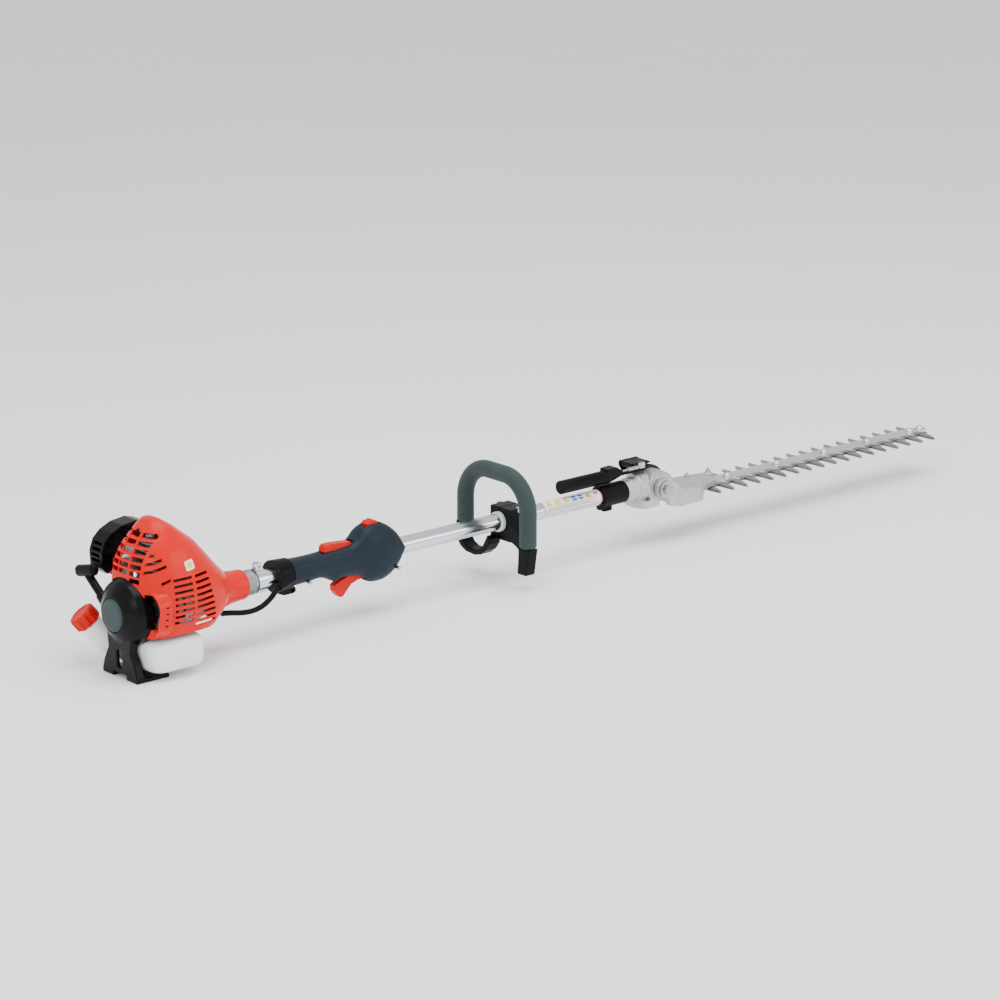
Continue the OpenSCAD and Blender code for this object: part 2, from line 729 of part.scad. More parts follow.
module bevel(r, n) {
  linear_extrude(6, scale = 0.5) union() {
    circle(r - 1.2);
    for (i = [0:n - 1]) rotate(360 / n * i)
      polygon([[r - 2, -1.1], [r + 0.8, -0.55], [r + 0.8, 0.55], [r - 2, 1.1]]);
  }
}
module bevel_pinion() {
  color([0.5, 0.5, 0.52]) place() difference() {
    union() {
      translate([pivot_x - 12, 0, 0]) rotate([0, 90, 0]) bevel(11.8, bevel_teeth);
      xcyl(990, pivot_x - 12, 7.5);
    }
    xcyl(980, pivot_x - 14, 4);
  }
}
module idler_gear() {
  color([0.5, 0.5, 0.52]) place() union() {
    translate([pivot_x, -12, 0]) rotate([-90, 0, 0]) bevel(11.8, bevel_teeth);
    ycyl(-17.5, -12, 8, pivot_x, 0);
    ycyl(-17.5, 17.5, 4.5, pivot_x, 0);
  }
}
module arm_side(y0, y1) {
  difference() {
    xz_plate([[pivot_x - 15, 7], [pivot_x - 6, 15], [pivot_x + 7, 15.5], [pivot_x + 17, 9], [pivot_x + 40, -7],
      [pivot_x + 42, -34], [pivot_x + 12, -30], [pivot_x + 4, -16], [pivot_x - 10, -13], [pivot_x - 15, -6]], y0, y1);
    ycyl(-60, 60, 12.08, pivot_x, 0);
  }
}
module cutter_case() {
  color([0.74, 0.76, 0.76]) place() difference() {
    union() {
      arm_side(-34.5, -24.8);
      arm_side(24.8, 34.5);
      difference() {
        intersection() {
          xz_plate([[1043.4, -34], [1043.4, -8], [1100, -10], [1164, -12], [1164, -20], [1140, -30], [1100, -34]], -40, 40);
          translate([0, 0, -50]) linear_extrude(60) polygon([[1040, -34.5], [1088, -34.5], [1132, -18], [1145, -10],
            [1149, 10], [1164, 14], [1164, 25], [1090, 32], [1060, 34.5], [1040, 34.5]]);
        }
        knuckle_cut();
      }
      for (x = [1111, 1157]) zcyl(-20, -10, 5.5, x, 20);
    }
    box([1050, -17, -30.5], [1130, 17, -13]);
    box([1120, -14.4, -40], [1180, 14.4, -16.9]);
    box([1100, -50, -40], [1180, 50, -20.6]);
    box([1052, -18.5, -40], [1128, 18.5, -30]);
    for (x = [1111, 1157]) zcyl(-40, 0, 2, x, 20);
    zcyl(-40, -28, 2, 1058, -25);
  }
  color([0.74, 0.76, 0.76]) place() box([1106, -12, bar_top], [1128, 12, -12.8]);
}
module case_cover() {
  color([0.68, 0.7, 0.7]) place() difference() {
    box([1052, -18.5, -34], [1100, 18.5, -31]);
    box([1053, -17.5, -33], [1099, 17.5, -30.9]);
  }
}
module case_bolts() {
  color([0.62, 0.63, 0.64]) place() union() {
    for (x = [1111, 1157]) {
      zcyl(-20, -9, 2, x, 20);
      zcyl(-10, -7, 4.6, x, 20);
      translate([x, 20, -7.1]) cylinder(h = 4.5, r1 = 3.6, r2 = 1);
    }
    zcyl(-38, -28, 2, 1058, -25);
    zcyl(-38, -34, 4, 1058, -25);
    zcyl(-36, -34, 3.4, 1090, -12);
  }
}
module cam_gear() {
  color([0.5, 0.5, 0.52]) place() difference() {
    union() {
      zcyl(-19.6, -15.4, 15, 1070, 0);
      zcyl(-23.4, -19.5, 8, 1070, 0);
    }
    for (i = [0:23]) translate([1070, 0, -20]) rotate([0, 0, 15 * i]) box([14, -1, -1], [16, 1, 6]);
  }
}
module adjust_handle() {
  color([0.03, 0.03, 0.035]) place() union() {
    xcyl_at(824, 919, 10.5, 0, 29.5);
    xz_plate([[914, 20.2], [914, 43], [934, 43.5], [946, 36], [946, 29], [936, 26]], -9, 9);
    xz_plate([[940, 26.5], [940, 31.5], [996, 31.5], [996, 27.5]], -5, 5);
    box([983.5, -4, 28], [993, 37, 31.2]);
    xz_plate([[982, 30.5], [982, 36], [pivot_x + 4, 36], [pivot_x + 12, 31.6], [pivot_x, 31.6], [995, 30.5]], 9.6, 36);
    xz_plate([[990.5, 14], [980, 28.5], [980, 37], [pivot_x + 5, 37], [pivot_x + 13, 30], [pivot_x, 14]], 34.8, 38);
  }
}
latch_x = 990;
latch_z = 36.5;
module latch_lever() {
  color([0.05, 0.05, 0.055]) place() difference() {
    union() {
      xz_plate([[984, 34], [985, 37.5], [990, 40], [999, 39], [pivot_x - 4, 34.5], [pivot_x - 6, 31.6], [997, 33]], 2, 8);
      ycyl(1, 9, 3, latch_x, latch_z);
    }
    ycyl(-10, 20, 1.6, latch_x, latch_z);
  }
}
module latch_rod() {
  color([0.75, 0.76, 0.77]) place() union() {
    ycyl(-4, 9.4, 1.55, latch_x, latch_z);
    box([985, -6, 31.5], [995, -2, 40]);
    rod([947, -6.8, 34.8], [986, -6.8, 34.8], 1.4);
    xcyl_at(958, 979, 2.8, -6.8, 34.8);
  }
}

// Cutter
tooth = [[-3, 13], [-1.5, tooth_reach - 1], [0.2, tooth_reach + 0.6], [2.2, tooth_reach - 0.4], [14, 13]];
near_side = [for (i = [0:tooth_count - 1]) for (t = tooth) [tooth_x + pitch * i + t[0], -t[1]]];
far_side = [for (i = [tooth_count - 1:-1:0]) for (t = tooth) [tooth_x + pitch * i + 6 - t[0], t[1]]];
blade_end = tooth_x + pitch * 17.65;
blade_plan = concat([[1090, -13]], near_side, [[blade_end, -13], [blade_end, 13]], far_side, [[1090, 13]]);
module blade(z) {
  difference() {
    translate([0, 0, z]) linear_extrude(blade_t) polygon(blade_plan);
    for (x = bolt_x) {
      box([x - slot_len / 2, -3.3, z - 1], [x + slot_len / 2, 3.3, z + blade_t + 1]);
    }
  }
}
module upper_blade() {
  color([0.62, 0.63, 0.64]) place() blade(blade_top - blade_t);
}
module lower_blade() {
  color([0.58, 0.59, 0.6]) place() blade(blade_low - blade_t);
}
module guide_bar() {
  color([0.78, 0.79, 0.8]) place() union() {
    difference() {
      box([1105, -bar_w / 2, bar_low], [1628, bar_w / 2, bar_top]);
      box([1600, -20, -40], [1640, -bar_w / 2 + 4, 0]);
      box([1600, bar_w / 2 - 4, -40], [1640, 20, 0]);
    }
    zcyl(bar_low, bar_top, 10, 1630, 0);
    for (x = bolt_x) {
      zcyl(blade_low - blade_t - gap - 4, bar_top, 3, x, 0);
      zcyl(bar_top - 0.1, bar_top + 1.2, 7.5, x, 0);
      intersection() {
        translate([x, 0, bar_top - 1]) sphere(7);
        zcyl(bar_top + 1, bar_top + 8, 8, x, 0);
      }
      zcyl(blade_low - blade_t - gap - 4, blade_low - blade_t - gap, 5, x, 0);
    }
  }
}

engine_cover();
starter_cover();
starter_badge();
starter_reel();
starter_rope();
starter_grip();
flywheel();
crankcase();
crankshaft();
cylinder_node();  // cylinder
piston();
spark_plug();
plug_cap();
muffler();
carburetor();
primer_bulb();
choke_lever();
air_cleaner_case();
air_filter();
fuel_tank();
fuel_cap();
clutch_shoes();
clutch_drum();
clutch_housing();
tube_clamp();
drive_tube();
drive_shaft();
shaft_bushes();
throttle_conduit();
grip_end_cap();
grip_near_shell();
grip_far_shell();
throttle_trigger();
trigger_spring();
lockout_lever();
stop_switch();
grip_screws();
loop_rod();
loop_frame();
loop_clamp();
loop_grip();
clamp_cushion();
loop_bolts();
tube_label();
head_sleeve();
input_case();
quadrant();
pivot_bolts();
bevel_pinion();
idler_gear();
cutter_case();
case_cover();
case_bolts();
cam_gear();
adjust_handle();
latch_lever();
latch_rod();
guide_bar();
upper_blade();
lower_blade();
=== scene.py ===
import json
import math
import bpy
import bmesh
import numpy as np
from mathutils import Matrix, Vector


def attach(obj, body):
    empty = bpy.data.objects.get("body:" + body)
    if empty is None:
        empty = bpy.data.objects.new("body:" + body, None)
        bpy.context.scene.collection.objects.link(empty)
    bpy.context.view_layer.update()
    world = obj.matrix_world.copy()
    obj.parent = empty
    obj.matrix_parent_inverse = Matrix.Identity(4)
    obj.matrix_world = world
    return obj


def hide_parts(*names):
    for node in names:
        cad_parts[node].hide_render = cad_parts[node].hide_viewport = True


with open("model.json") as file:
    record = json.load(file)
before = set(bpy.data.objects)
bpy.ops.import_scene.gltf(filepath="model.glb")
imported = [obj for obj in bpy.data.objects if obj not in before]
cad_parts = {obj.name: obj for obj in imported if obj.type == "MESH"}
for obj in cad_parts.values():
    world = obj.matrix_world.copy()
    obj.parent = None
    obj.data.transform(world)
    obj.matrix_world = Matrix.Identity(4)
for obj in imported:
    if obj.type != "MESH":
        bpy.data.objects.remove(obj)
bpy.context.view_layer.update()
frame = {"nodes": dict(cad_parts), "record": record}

nodes = frame["nodes"]
print("frame loaded:", len(nodes), "nodes")

# Everything below is worked out in the tube's own millimetres: x from the starter's face, y and z from the tube
# axis. toFrame turns that into the frame's metres.
tube = dict(footX=38.0, axisZ=92.0, radius=12.7)


def toFrame(points):
    points = np.asarray(points, float)
    return (points - np.array([tube["footX"], 0.0, -tube["axisZ"]])) / 1000.0


# ---------------------------------------------------------------- mesh tools
def makePiece(name, points, faces, body, slot, material, replaces=(), sharp=38):
    mesh = bpy.data.meshes.new(name)
    mesh.from_pydata(toFrame(points).tolist(), [], [list(map(int, f)) for f in faces])
    mesh.validate()
    piece = bpy.data.objects.new(name, mesh)
    bpy.context.scene.collection.objects.link(piece)
    return finishPiece(piece, body, material, replaces, sharp)


def finishPiece(piece, body, material, replaces=(), sharp=38):
    work = bmesh.new()
    work.from_mesh(piece.data)
    bmesh.ops.recalc_face_normals(work, faces=work.faces)
    work.to_mesh(piece.data)
    work.free()
    piece.data.materials.clear()
    piece.data.materials.append(material)
    piece.data.shade_smooth()
    piece.data.set_sharp_from_angle(angle=math.radians(sharp))
    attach(piece, body)
    if replaces:
        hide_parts(*replaces)
    return piece


def gridFaces(rows, cols, wrapCols=True, wrapRows=False, start=0):
    # quads over a rows x cols grid of points, joined round where a direction wraps
    r = np.arange(rows if wrapRows else rows - 1)
    c = np.arange(cols if wrapCols else cols - 1)
    a, b = np.meshgrid(r, c, indexing="ij")
    a2, b2 = (a + 1) % rows, (b + 1) % cols
    quads = np.stack([a * cols + b, a * cols + b2, a2 * cols + b2, a2 * cols + b], -1)
    return quads.reshape(-1, 4) + start


def loft(rings, capped=True):
    # rings[i, j] is point j of closed section i; sections are joined in order, with flat ends
    rings = np.asarray(rings, float)
    rows, cols = rings.shape[:2]
    faces = gridFaces(rows, cols).tolist()
    if capped:
        faces.append(list(range(cols))[::-1])
        faces.append(list(range((rows - 1) * cols, rows * cols)))
    return rings.reshape(-1, 3), faces


def merged(parts):
    points, faces, count = [], [], 0
    for pts, fcs in parts:
        points.append(np.asarray(pts, float))
        faces += [[i + count for i in f] for f in fcs]
        count += len(pts)
    return np.concatenate(points), faces


def turned(profile, start, axis, count=48):
    # a profile of (distance along axis, radius) pairs turned round an axis through start
    axis = np.asarray(axis, float) / np.linalg.norm(axis)
    side = np.cross(axis, [0, 0, 1.0] if abs(axis[2]) < 0.9 else [1.0, 0, 0])
    side /= np.linalg.norm(side)
    up = np.cross(side, axis)
    a = np.linspace(0, 2 * np.pi, count, endpoint=False)
    circle = np.cos(a)[:, None] * side + np.sin(a)[:, None] * up
    profile = np.asarray(profile, float)
    rings = np.asarray(start, float) + profile[:, 0, None, None] * axis + profile[:, 1, None, None] * circle[None]
    return loft(rings)


def roundEdge(profile, radius, steps=4):
    # rounds the corners of an open (along, radius) profile by a small fillet of the given radius
    p = np.asarray(profile, float)
    out = [p[0]]
    for i in range(1, len(p) - 1):
        a, b = p[i - 1] - p[i], p[i + 1] - p[i]
        la, lb = np.linalg.norm(a), np.linalg.norm(b)
        r = min(radius, la * 0.45, lb * 0.45)
        t = np.linspace(0, 1, steps + 1)[:, None]
        s, e = p[i] + a / la * r, p[i] + b / lb * r
        out += list((1 - t) ** 2 * s + 2 * t * (1 - t) * p[i] + t ** 2 * e)
    out.append(p[-1])
    return np.array(out)


def slab(outline, low, high, plane="xz", bevel=0.8, steps=3):
    # a flat outline given thickness, with its rims rounded: each ring is the outline pulled in by a quarter circle
    o = np.asarray(outline, float)
    area = 0.5 * np.sum(o[:, 0] * np.roll(o[:, 1], -1) - np.roll(o[:, 0], -1) * o[:, 1])
    if area < 0:
        o = o[::-1]
    e1, e2 = o - np.roll(o, 1, 0), np.roll(o, -1, 0) - o
    n1 = np.stack([-e1[:, 1], e1[:, 0]], -1) / np.maximum(np.linalg.norm(e1, axis=1), 1e-9)[:, None]
    n2 = np.stack([-e2[:, 1], e2[:, 0]], -1) / np.maximum(np.linalg.norm(e2, axis=1), 1e-9)[:, None]
    n = n1 + n2
    n = n / np.maximum((n * n).sum(1) / 2, 0.35)[:, None]
    q = np.linspace(0, np.pi / 2, steps + 1)
    pull = np.concatenate([bevel * (1 - np.sin(q)), bevel * (1 - np.cos(q))])
    rise = np.concatenate([low + bevel * (1 - np.cos(q)), high - bevel * (1 - np.sin(q))])
    flat = o[None] + pull[:, None, None] * n[None]
    h = np.repeat(rise[:, None], len(o), 1)
    if plane == "xz":
        rings = np.stack([flat[..., 0], h, flat[..., 1]], -1)
    elif plane == "yz":
        rings = np.stack([h, flat[..., 0], flat[..., 1]], -1)
    else:
        rings = np.stack([flat[..., 0], flat[..., 1], h], -1)
    return loft(rings)


def frames(path, side=(0, 1, 0)):
    t = np.gradient(path, axis=0)
    t /= np.linalg.norm(t, axis=1)[:, None]
    b = np.cross(t, np.asarray(side, float))
    b /= np.linalg.norm(b, axis=1)[:, None]
    return t, b, np.cross(b, t)


def smoothPath(points, count):
    # a Catmull-Rom curve through the points, sampled evenly by length
    p = np.asarray(points, float)
    p = np.vstack([2 * p[0] - p[1], p, 2 * p[-1] - p[-2]])
    t = np.linspace(0, 1, 24, endpoint=False)[:, None]
    out = []
    for i in range(1, len(p) - 2):
        a, b, c, d = p[i - 1:i + 3]
        out.append(0.5 * (2 * b + (c - a) * t + (2 * a - 5 * b + 4 * c - d) * t ** 2 + (3 * b - a - 3 * c + d) * t ** 3))
    out = np.vstack(out + [p[-2][None]])
    s = np.concatenate([[0], np.cumsum(np.linalg.norm(np.diff(out, axis=0), axis=1))])
    u = np.linspace(0, s[-1], count)
    return np.stack([np.interp(u, s, out[:, k]) for k in range(3)], -1), u


def tubeAlong(path, radius, side=(0, 1, 0), count=24):
    # radius may be one number or one per point of the path
    t, b, c = frames(path, side)
    a = np.linspace(0, 2 * np.pi, count, endpoint=False)
    r = np.broadcast_to(np.asarray(radius, float), (len(path),))
    rings = path[:, None] + r[:, None, None] * (np.cos(a)[None, :, None] * c[:, None] + np.sin(a)[None, :,
        None] * b[:, None])
    return loft(rings)


def superBox(centre, half, power=5.0, rows=48, cols=72):
    # superquadric: |x|^p + |y|^p + |z|^p = 1, scaled by the half sizes
    centre, half = np.asarray(centre, float), np.asarray(half, float)
    lat = np.linspace(-np.pi / 2, np.pi / 2, rows)[1:-1]
    lon = np.linspace(0, 2 * np.pi, cols, endpoint=False)
    la, lo = np.meshgrid(lat, lon, indexing="ij")
    d = np.stack([np.cos(la) * np.cos(lo), np.cos(la) * np.sin(lo), np.sin(la)], -1)
    d /= (np.abs(d) ** power).sum(-1, keepdims=True) ** (1 / power)
    rings = centre + half * d
    pts, faces = loft(rings, capped=False)
    poles = np.array([centre - [0, 0, half[2]], centre + [0, 0, half[2]]])
    n, c = len(pts), cols
    faces += [[n, (j + 1) % c, j] for j in range(c)]
    top = (rows - 3) * c
    faces += [[n + 1, top + j, top + (j + 1) % c] for j in range(c)]
    return np.vstack([pts, poles]), faces


def boxMesh(low, high):
    (a, b, c), (d, e, f) = low, high
    pts = [[x, y, z] for x in (a, d) for y in (b, e) for z in (c, f)]
    return np.array(pts, float), [[0, 1, 3, 2], [4, 6, 7, 5], [0, 4, 5, 1], [2, 3, 7, 6], [0, 2, 6, 4], [1, 5, 7,
        3]]


def tempObject(points, faces, name="temp"):
    mesh = bpy.data.meshes.new(name)
    mesh.from_pydata(np.asarray(points, float).tolist(), [], [list(map(int, f)) for f in faces])
    mesh.validate()
    work = bmesh.new()
    work.from_mesh(mesh)
    bmesh.ops.recalc_face_normals(work, faces=work.faces)
    work.to_mesh(mesh)
    work.free()
    thing = bpy.data.objects.new(name, mesh)
    bpy.context.scene.collection.objects.link(thing)
    return thing


def applyAll(thing):
    # replaces the object's mesh by what its modifiers make of it
    graph = bpy.context.evaluated_depsgraph_get()
    mesh = bpy.data.meshes.new_from_object(thing.evaluated_get(graph), depsgraph=graph)
    thing.modifiers.clear()
    old = thing.data
    thing.data = mesh
    bpy.data.meshes.remove(old)
    return thing


def carve(thing, cutter, solver="EXACT"):
    cut = thing.modifiers.new("cut", "BOOLEAN")
    cut.operation, cut.solver, cut.object = "DIFFERENCE", solver, cutter
    if solver == "EXACT":
        cut.use_self = True
    applyAll(thing)
    bpy.data.objects.remove(cutter)
    return thing


def toPiece(thing, name, body, material, replaces=(), sharp=38):
    # thing is in tube millimetres; its mesh is put into the frame and becomes a piece
    co = np.zeros(len(thing.data.vertices) * 3)
    thing.data.vertices.foreach_get("co", co)
    thing.data.vertices.foreach_set("co", toFrame(co.reshape(-1, 3)).ravel())
    thing.name = thing.data.name = name
    return finishPiece(thing, body, material, replaces, sharp)


def fromNode(name):
    # a merged copy of a CAD node, in tube millimetres
    source = nodes[name].data
    mesh = source.copy()
    co = np.zeros(len(mesh.vertices) * 3)
    mesh.vertices.foreach_get("co", co)
    co = co.reshape(-1, 3) * 1000 + [tube["footX"], 0, -tube["axisZ"]]
    mesh.vertices.foreach_set("co", co.ravel())
    work = bmesh.new()
    work.from_mesh(mesh)
    bmesh.ops.remove_doubles(work, verts=work.verts, dist=0.004)
    bmesh.ops.dissolve_limit(work, angle_limit=math.radians(0.6), verts=work.verts, edges=work.edges)
    work.to_mesh(mesh)
    work.free()
    thing = bpy.data.objects.new("copy", mesh)
    bpy.context.scene.collection.objects.link(thing)
    return thing


def softened(thing, voxel=0.9, smooth=4, strength=0.5):
    # remeshed on a fine grid and relaxed, so every corner gets the small radius of a moulding or casting
    grid = thing.modifiers.new("grid", "REMESH")
    grid.mode, grid.voxel_size, grid.adaptivity = "VOXEL", voxel, 0.0
    relax = thing.modifiers.new("relax", "SMOOTH")
    relax.factor, relax.iterations = strength, smooth
    return applyAll(thing)


# ---------------------------------------------------------------- shader tools
class Wire:
    # wraps a socket, so shader maths can be written as Python expressions
    def __init__(self, tree, socket):
        self.tree, self.socket = tree, socket

    def make(self, kind, settings=None, links=None, out=0):
        node = self.tree.nodes.new(kind)
        for key, value in (settings or {}).items():
            if key == "stops":
                ramp = node.color_ramp
                while len(ramp.elements) < len(value):
                    ramp.elements.new(0.5)
                for element, (place, colour) in zip(ramp.elements, value):
                    element.position = place
                    element.color = tuple(colour) + (1,) if len(colour) == 3 else colour
            else:
                setattr(node, key, value)
        for key, value in (links or {}).items():
            socket = node.inputs[key]
            if isinstance(value, Wire):
                self.tree.links.new(value.socket, socket)
            else:
                socket.default_value = value
        return Wire(self.tree, node.outputs[out])

    def math(self, operation, a, b=None, c=None):
        links = {0: a}
        if b is not None:
            links[1] = b
        if c is not None:
            links[2] = c
        return self.make("ShaderNodeMath", {"operation": operation}, links)

    def __add__(self, other): return self.math("ADD", self, other)
    def __radd__(self, other): return self.math("ADD", other, self)
    def __sub__(self, other): return self.math("SUBTRACT", self, other)
    def __rsub__(self, other): return self.math("SUBTRACT", other, self)
    def __mul__(self, other): return self.math("MULTIPLY", self, other)
    def __rmul__(self, other): return self.math("MULTIPLY", other, self)
    def __truediv__(self, other): return self.math("DIVIDE", self, other)
    def __rtruediv__(self, other): return self.math("DIVIDE", other, self)
    def __pow__(self, other): return self.math("POWER", self, other)
    def __neg__(self): return self.math("MULTIPLY", self, -1.0)

    def noise(self, scale, detail=3.0, rough=0.5):
        return self.make("ShaderNodeTexNoise", {}, {"Vector": self, "Scale": scale, "Detail": detail,
            "Roughness": rough})

    def stretch(self, factors):
        return self.make("ShaderNodeMapping", {"vector_type": "POINT"}, {"Vector": self, "Scale": factors})

    def span(self, low, high, toLow=0.0, toHigh=1.0):
        return self.make("ShaderNodeMapRange", {}, {"Value": self, "From Min": low, "From Max": high,
                                                    "To Min": toLow, "To Max": toHigh})

    def mix(self, first, second):
        # blends two colours by this factor
        node = self.tree.nodes.new("ShaderNodeMix")
        node.data_type = "RGBA"
        self.tree.links.new(self.socket, node.inputs[0])
        for socket, value in ((node.inputs[6], first), (node.inputs[7], second)):
            if isinstance(value, Wire):
                self.tree.links.new(value.socket, socket)
            else:
                socket.default_value = tuple(value) + (1,)
        return Wire(self.tree, node.outputs[2])


def newMaterial(name, constants):
    material = bpy.data.materials.new(name)
    material.use_nodes = True
    tree = material.node_tree
    shader = tree.nodes["Principled BSDF"]
    for key, value in constants.items():
        shader.inputs[key].default_value = value
    where = tree.nodes.new("ShaderNodeTexCoord")
    return material, shader, Wire(tree, where.outputs["Object"])


def plug(shader, name, wire):
    wire.tree.links.new(wire.socket, shader.inputs[name])


def bump(height, strength, distance):
    return height.make("ShaderNodeBump", {}, {"Strength": strength, "Distance": distance, "Height": height})


def plastic(name, colour, darker, rough=(0.2, 0.28), grain=900, grainDepth=0.00002, coat=0.0, sub=0.0, scuff=0.3,
    shine=0.5):
    # moulded plastic: broad shifts of tone, a fine moulded grain, and roughness that wanders with handling
    material, shader, at = newMaterial(name, {"IOR": 1.5, "Coat Weight": coat, "Coat Roughness": 0.08,
                                                     "Specular IOR Level": shine})
    if sub:
        shader.inputs["Subsurface Weight"].default_value = sub
        shader.inputs["Subsurface Radius"].default_value = (0.004, 0.0015, 0.001)
    broad = at.noise(9, 4, 0.55)
    plug(shader, "Base Color", broad.span(0.35, 0.7).mix(darker, colour))
    wear = at.noise(60, 5, 0.6).span(0.45, 0.75, 0, scuff)
    plug(shader, "Roughness", at.noise(22, 3).span(0.3, 0.7, rough[0], rough[1]) + wear * 0.12)
    plug(shader, "Normal", bump(at.noise(grain, 2, 0.5), 0.35, grainDepth))
    return material


def castMetal(name, colour, darker, rough=(0.38, 0.52), grain=520, depth=0.00009, metal=0.85):
    # die-cast alloy: cloudy tone, fine sandy skin
    material, shader, at = newMaterial(name, {"Metallic": metal, "IOR": 1.5})
    cloud = at.noise(30, 5, 0.6)
    fine = at.noise(grain, 4, 0.65)
    plug(shader, "Base Color", (cloud * 0.7 + fine * 0.3).span(0.38, 0.64).mix(darker, colour))
    plug(shader, "Roughness", cloud.span(0.3, 0.7, rough[0], rough[1]))
    plug(shader, "Normal", bump(fine, 0.5, depth))
    return material


def drawnMetal(name, colour, darker, along, rough=(0.14, 0.24), depth=0.00001, metal=1.0, scale=420):
    # drawn or ground metal: long faint lines along one direction
    material, shader, at = newMaterial(name, {"Metallic": metal})
    squash = tuple(0.02 if i == along else 1.0 for i in range(3))
    lines = at.stretch(squash).noise(scale, 4, 0.6)
    smear = at.stretch(tuple(0.15 if i == along else 1.0 for i in range(3))).noise(30, 4, 0.6)
    plug(shader, "Base Color", (lines * 0.5 + smear * 0.5).span(0.35, 0.65).mix(darker, colour))
    plug(shader, "Roughness", lines.span(0.3, 0.7, rough[0], rough[1]) + smear.span(0.5, 0.8, 0, 0.05))
    plug(shader, "Normal", bump(lines, 0.3, depth))
    return material


def foamRubber():
    # soft grip: matt, very finely pitted
    material, shader, at = newMaterial("foamGrip", {"IOR": 1.45, "Sheen Weight": 0.08, "Specular IOR Level": 0.2,
        "Sheen Roughness": 0.5})
    tone = at.noise(14, 4, 0.6)
    pits = at.make("ShaderNodeTexVoronoi", {}, {"Vector": at, "Scale": 900.0})
    plug(shader, "Base Color", (tone * 0.8 + pits * 0.2).span(0.3, 0.75).mix((0.02, 0.034, 0.034), (0.038, 0.056,
        0.055)))
    plug(shader, "Roughness", tone.span(0.3, 0.7, 0.62, 0.78))
    plug(shader, "Normal", bump(at.noise(700, 3, 0.6) * 0.6 + pits * 0.4, 0.4, 0.00012))
    return material


def tankPlastic():
    # milky blown plastic that lets some light through
    material, shader, at = newMaterial("milkyTank", {"IOR": 1.48, "Subsurface Weight": 0.55,
        "Transmission Weight": 0.0,
                                                     "Coat Weight": 0.15, "Coat Roughness": 0.2})
    shader.inputs["Subsurface Radius"].default_value = (0.012, 0.013, 0.013)
    # the colour runs from a dull blue-grey at the tank's bottom to near white at its top: painted shade below
    tankHeight = at.make("ShaderNodeSeparateXYZ", {}, {"Vector": at}, out=2)
    low = tankHeight.span(0.012, 0.05)
    cloud = at.noise(18, 4, 0.6)
    plug(shader, "Base Color", (low * 0.7 + cloud * 0.3).mix((0.74, 0.79, 0.8), (0.93, 0.95, 0.94)))
    plug(shader, "Roughness", cloud.span(0.3, 0.7, 0.26, 0.4))
    plug(shader, "Normal", bump(at.noise(240, 3, 0.5), 0.25, 0.0001))
    return material


print("materials")
redGloss = plastic("redGloss", (0.66, 0.006, 0.003), (0.6, 0.004, 0.002), (0.2, 0.28), 700, 0.000012, shine=0.14)
redControl = plastic("redControl", (0.58, 0.006, 0.004), (0.5, 0.005, 0.003), (0.3, 0.42), 1100, 0.00003,
    shine=0.12)
blackGloss = plastic("blackGloss", (0.004, 0.004, 0.005), (0.002, 0.002, 0.002), (0.2, 0.32), 900, 0.00002,
    shine=0.12)
blackSatin = plastic("blackSatin", (0.005, 0.005, 0.006), (0.002, 0.002, 0.003), (0.34, 0.46), 1200, 0.00005,
    shine=0.08)
slate = plastic("slateShell", (0.012, 0.021, 0.031), (0.008, 0.015, 0.023), (0.36, 0.48), 1300, 0.00006, shine=0.12)
badgeGrey = plastic("badgeGrey", (0.035, 0.055, 0.06), (0.026, 0.042, 0.046), (0.34, 0.44), 900, 0.00003,
    shine=0.15)
milky = tankPlastic()
foam = foamRubber()
blackRubber = plastic("blackRubber", (0.005, 0.005, 0.005), (0.003, 0.003, 0.003), (0.5, 0.65), 800, 0.00006,
    shine=0.06)
softWhite = plastic("softWhite", (0.8, 0.84, 0.84), (0.68, 0.73, 0.73), (0.4, 0.55), 700, 0.00004, sub=0.1)
clearBulb = plastic("clearBulb", (0.72, 0.76, 0.72), (0.62, 0.66, 0.6), (0.15, 0.25), 500, 0.00002, coat=0.3,
    sub=0.3)
castAlloy = castMetal("castAlloy", (0.56, 0.585, 0.57), (0.42, 0.44, 0.43))
# a darker copy of castAlloy, painted shade for the engine parts that sit inside the shroud
shadedAlloy = castMetal("shadedAlloy", (0.3, 0.31, 0.3), (0.18, 0.19, 0.19))
brightTube = drawnMetal("brightTube", (0.74, 0.77, 0.81), (0.6, 0.64, 0.7), 0, (0.14, 0.22))
bladeSteel = drawnMetal("bladeSteel", (0.34, 0.345, 0.35), (0.2, 0.205, 0.21), 1, (0.24, 0.36), 0.00002, scale=500)
barSteel = drawnMetal("barSteel", (0.72, 0.74, 0.76), (0.52, 0.55, 0.58), 0, (0.18, 0.28), 0.00002)
plainSteel = drawnMetal("plainSteel", (0.55, 0.56, 0.57), (0.36, 0.37, 0.38), 0, (0.2, 0.34), 0.00002)
blackSteel = castMetal("blackSteel", (0.03, 0.03, 0.033), (0.012, 0.012, 0.014), (0.35, 0.5), 700, 0.00004, 0.6)
sheetSteel = castMetal("sheetSteel", (0.07, 0.06, 0.055), (0.025, 0.022, 0.02), (0.35, 0.55), 300, 0.00004, 0.9)
ceramicWhite = plastic("ceramicWhite", (0.85, 0.84, 0.8), (0.75, 0.74, 0.7), (0.15, 0.25), 400, 0.00001, coat=0.4)
ropeFibre = plastic("ropeFibre", (0.6, 0.6, 0.56), (0.3, 0.3, 0.28), (0.7, 0.85), 1500, 0.0003)
filterFoam = plastic("filterFoam", (0.1, 0.1, 0.085), (0.05, 0.05, 0.045), (0.8, 0.9), 1400, 0.0006)
labelWhite = plastic("labelWhite", (0.86, 0.87, 0.88), (0.82, 0.83, 0.84), (0.2, 0.3), 400, 0.000008, coat=0.2)
labelPink = plastic("labelPink", (0.8, 0.14, 0.32), (0.76, 0.12, 0.28), (0.25, 0.35), 400, 0.000008)
labelYellow = plastic("labelYellow", (0.8, 0.66, 0.02), (0.76, 0.6, 0.02), (0.25, 0.35), 400, 0.000008)
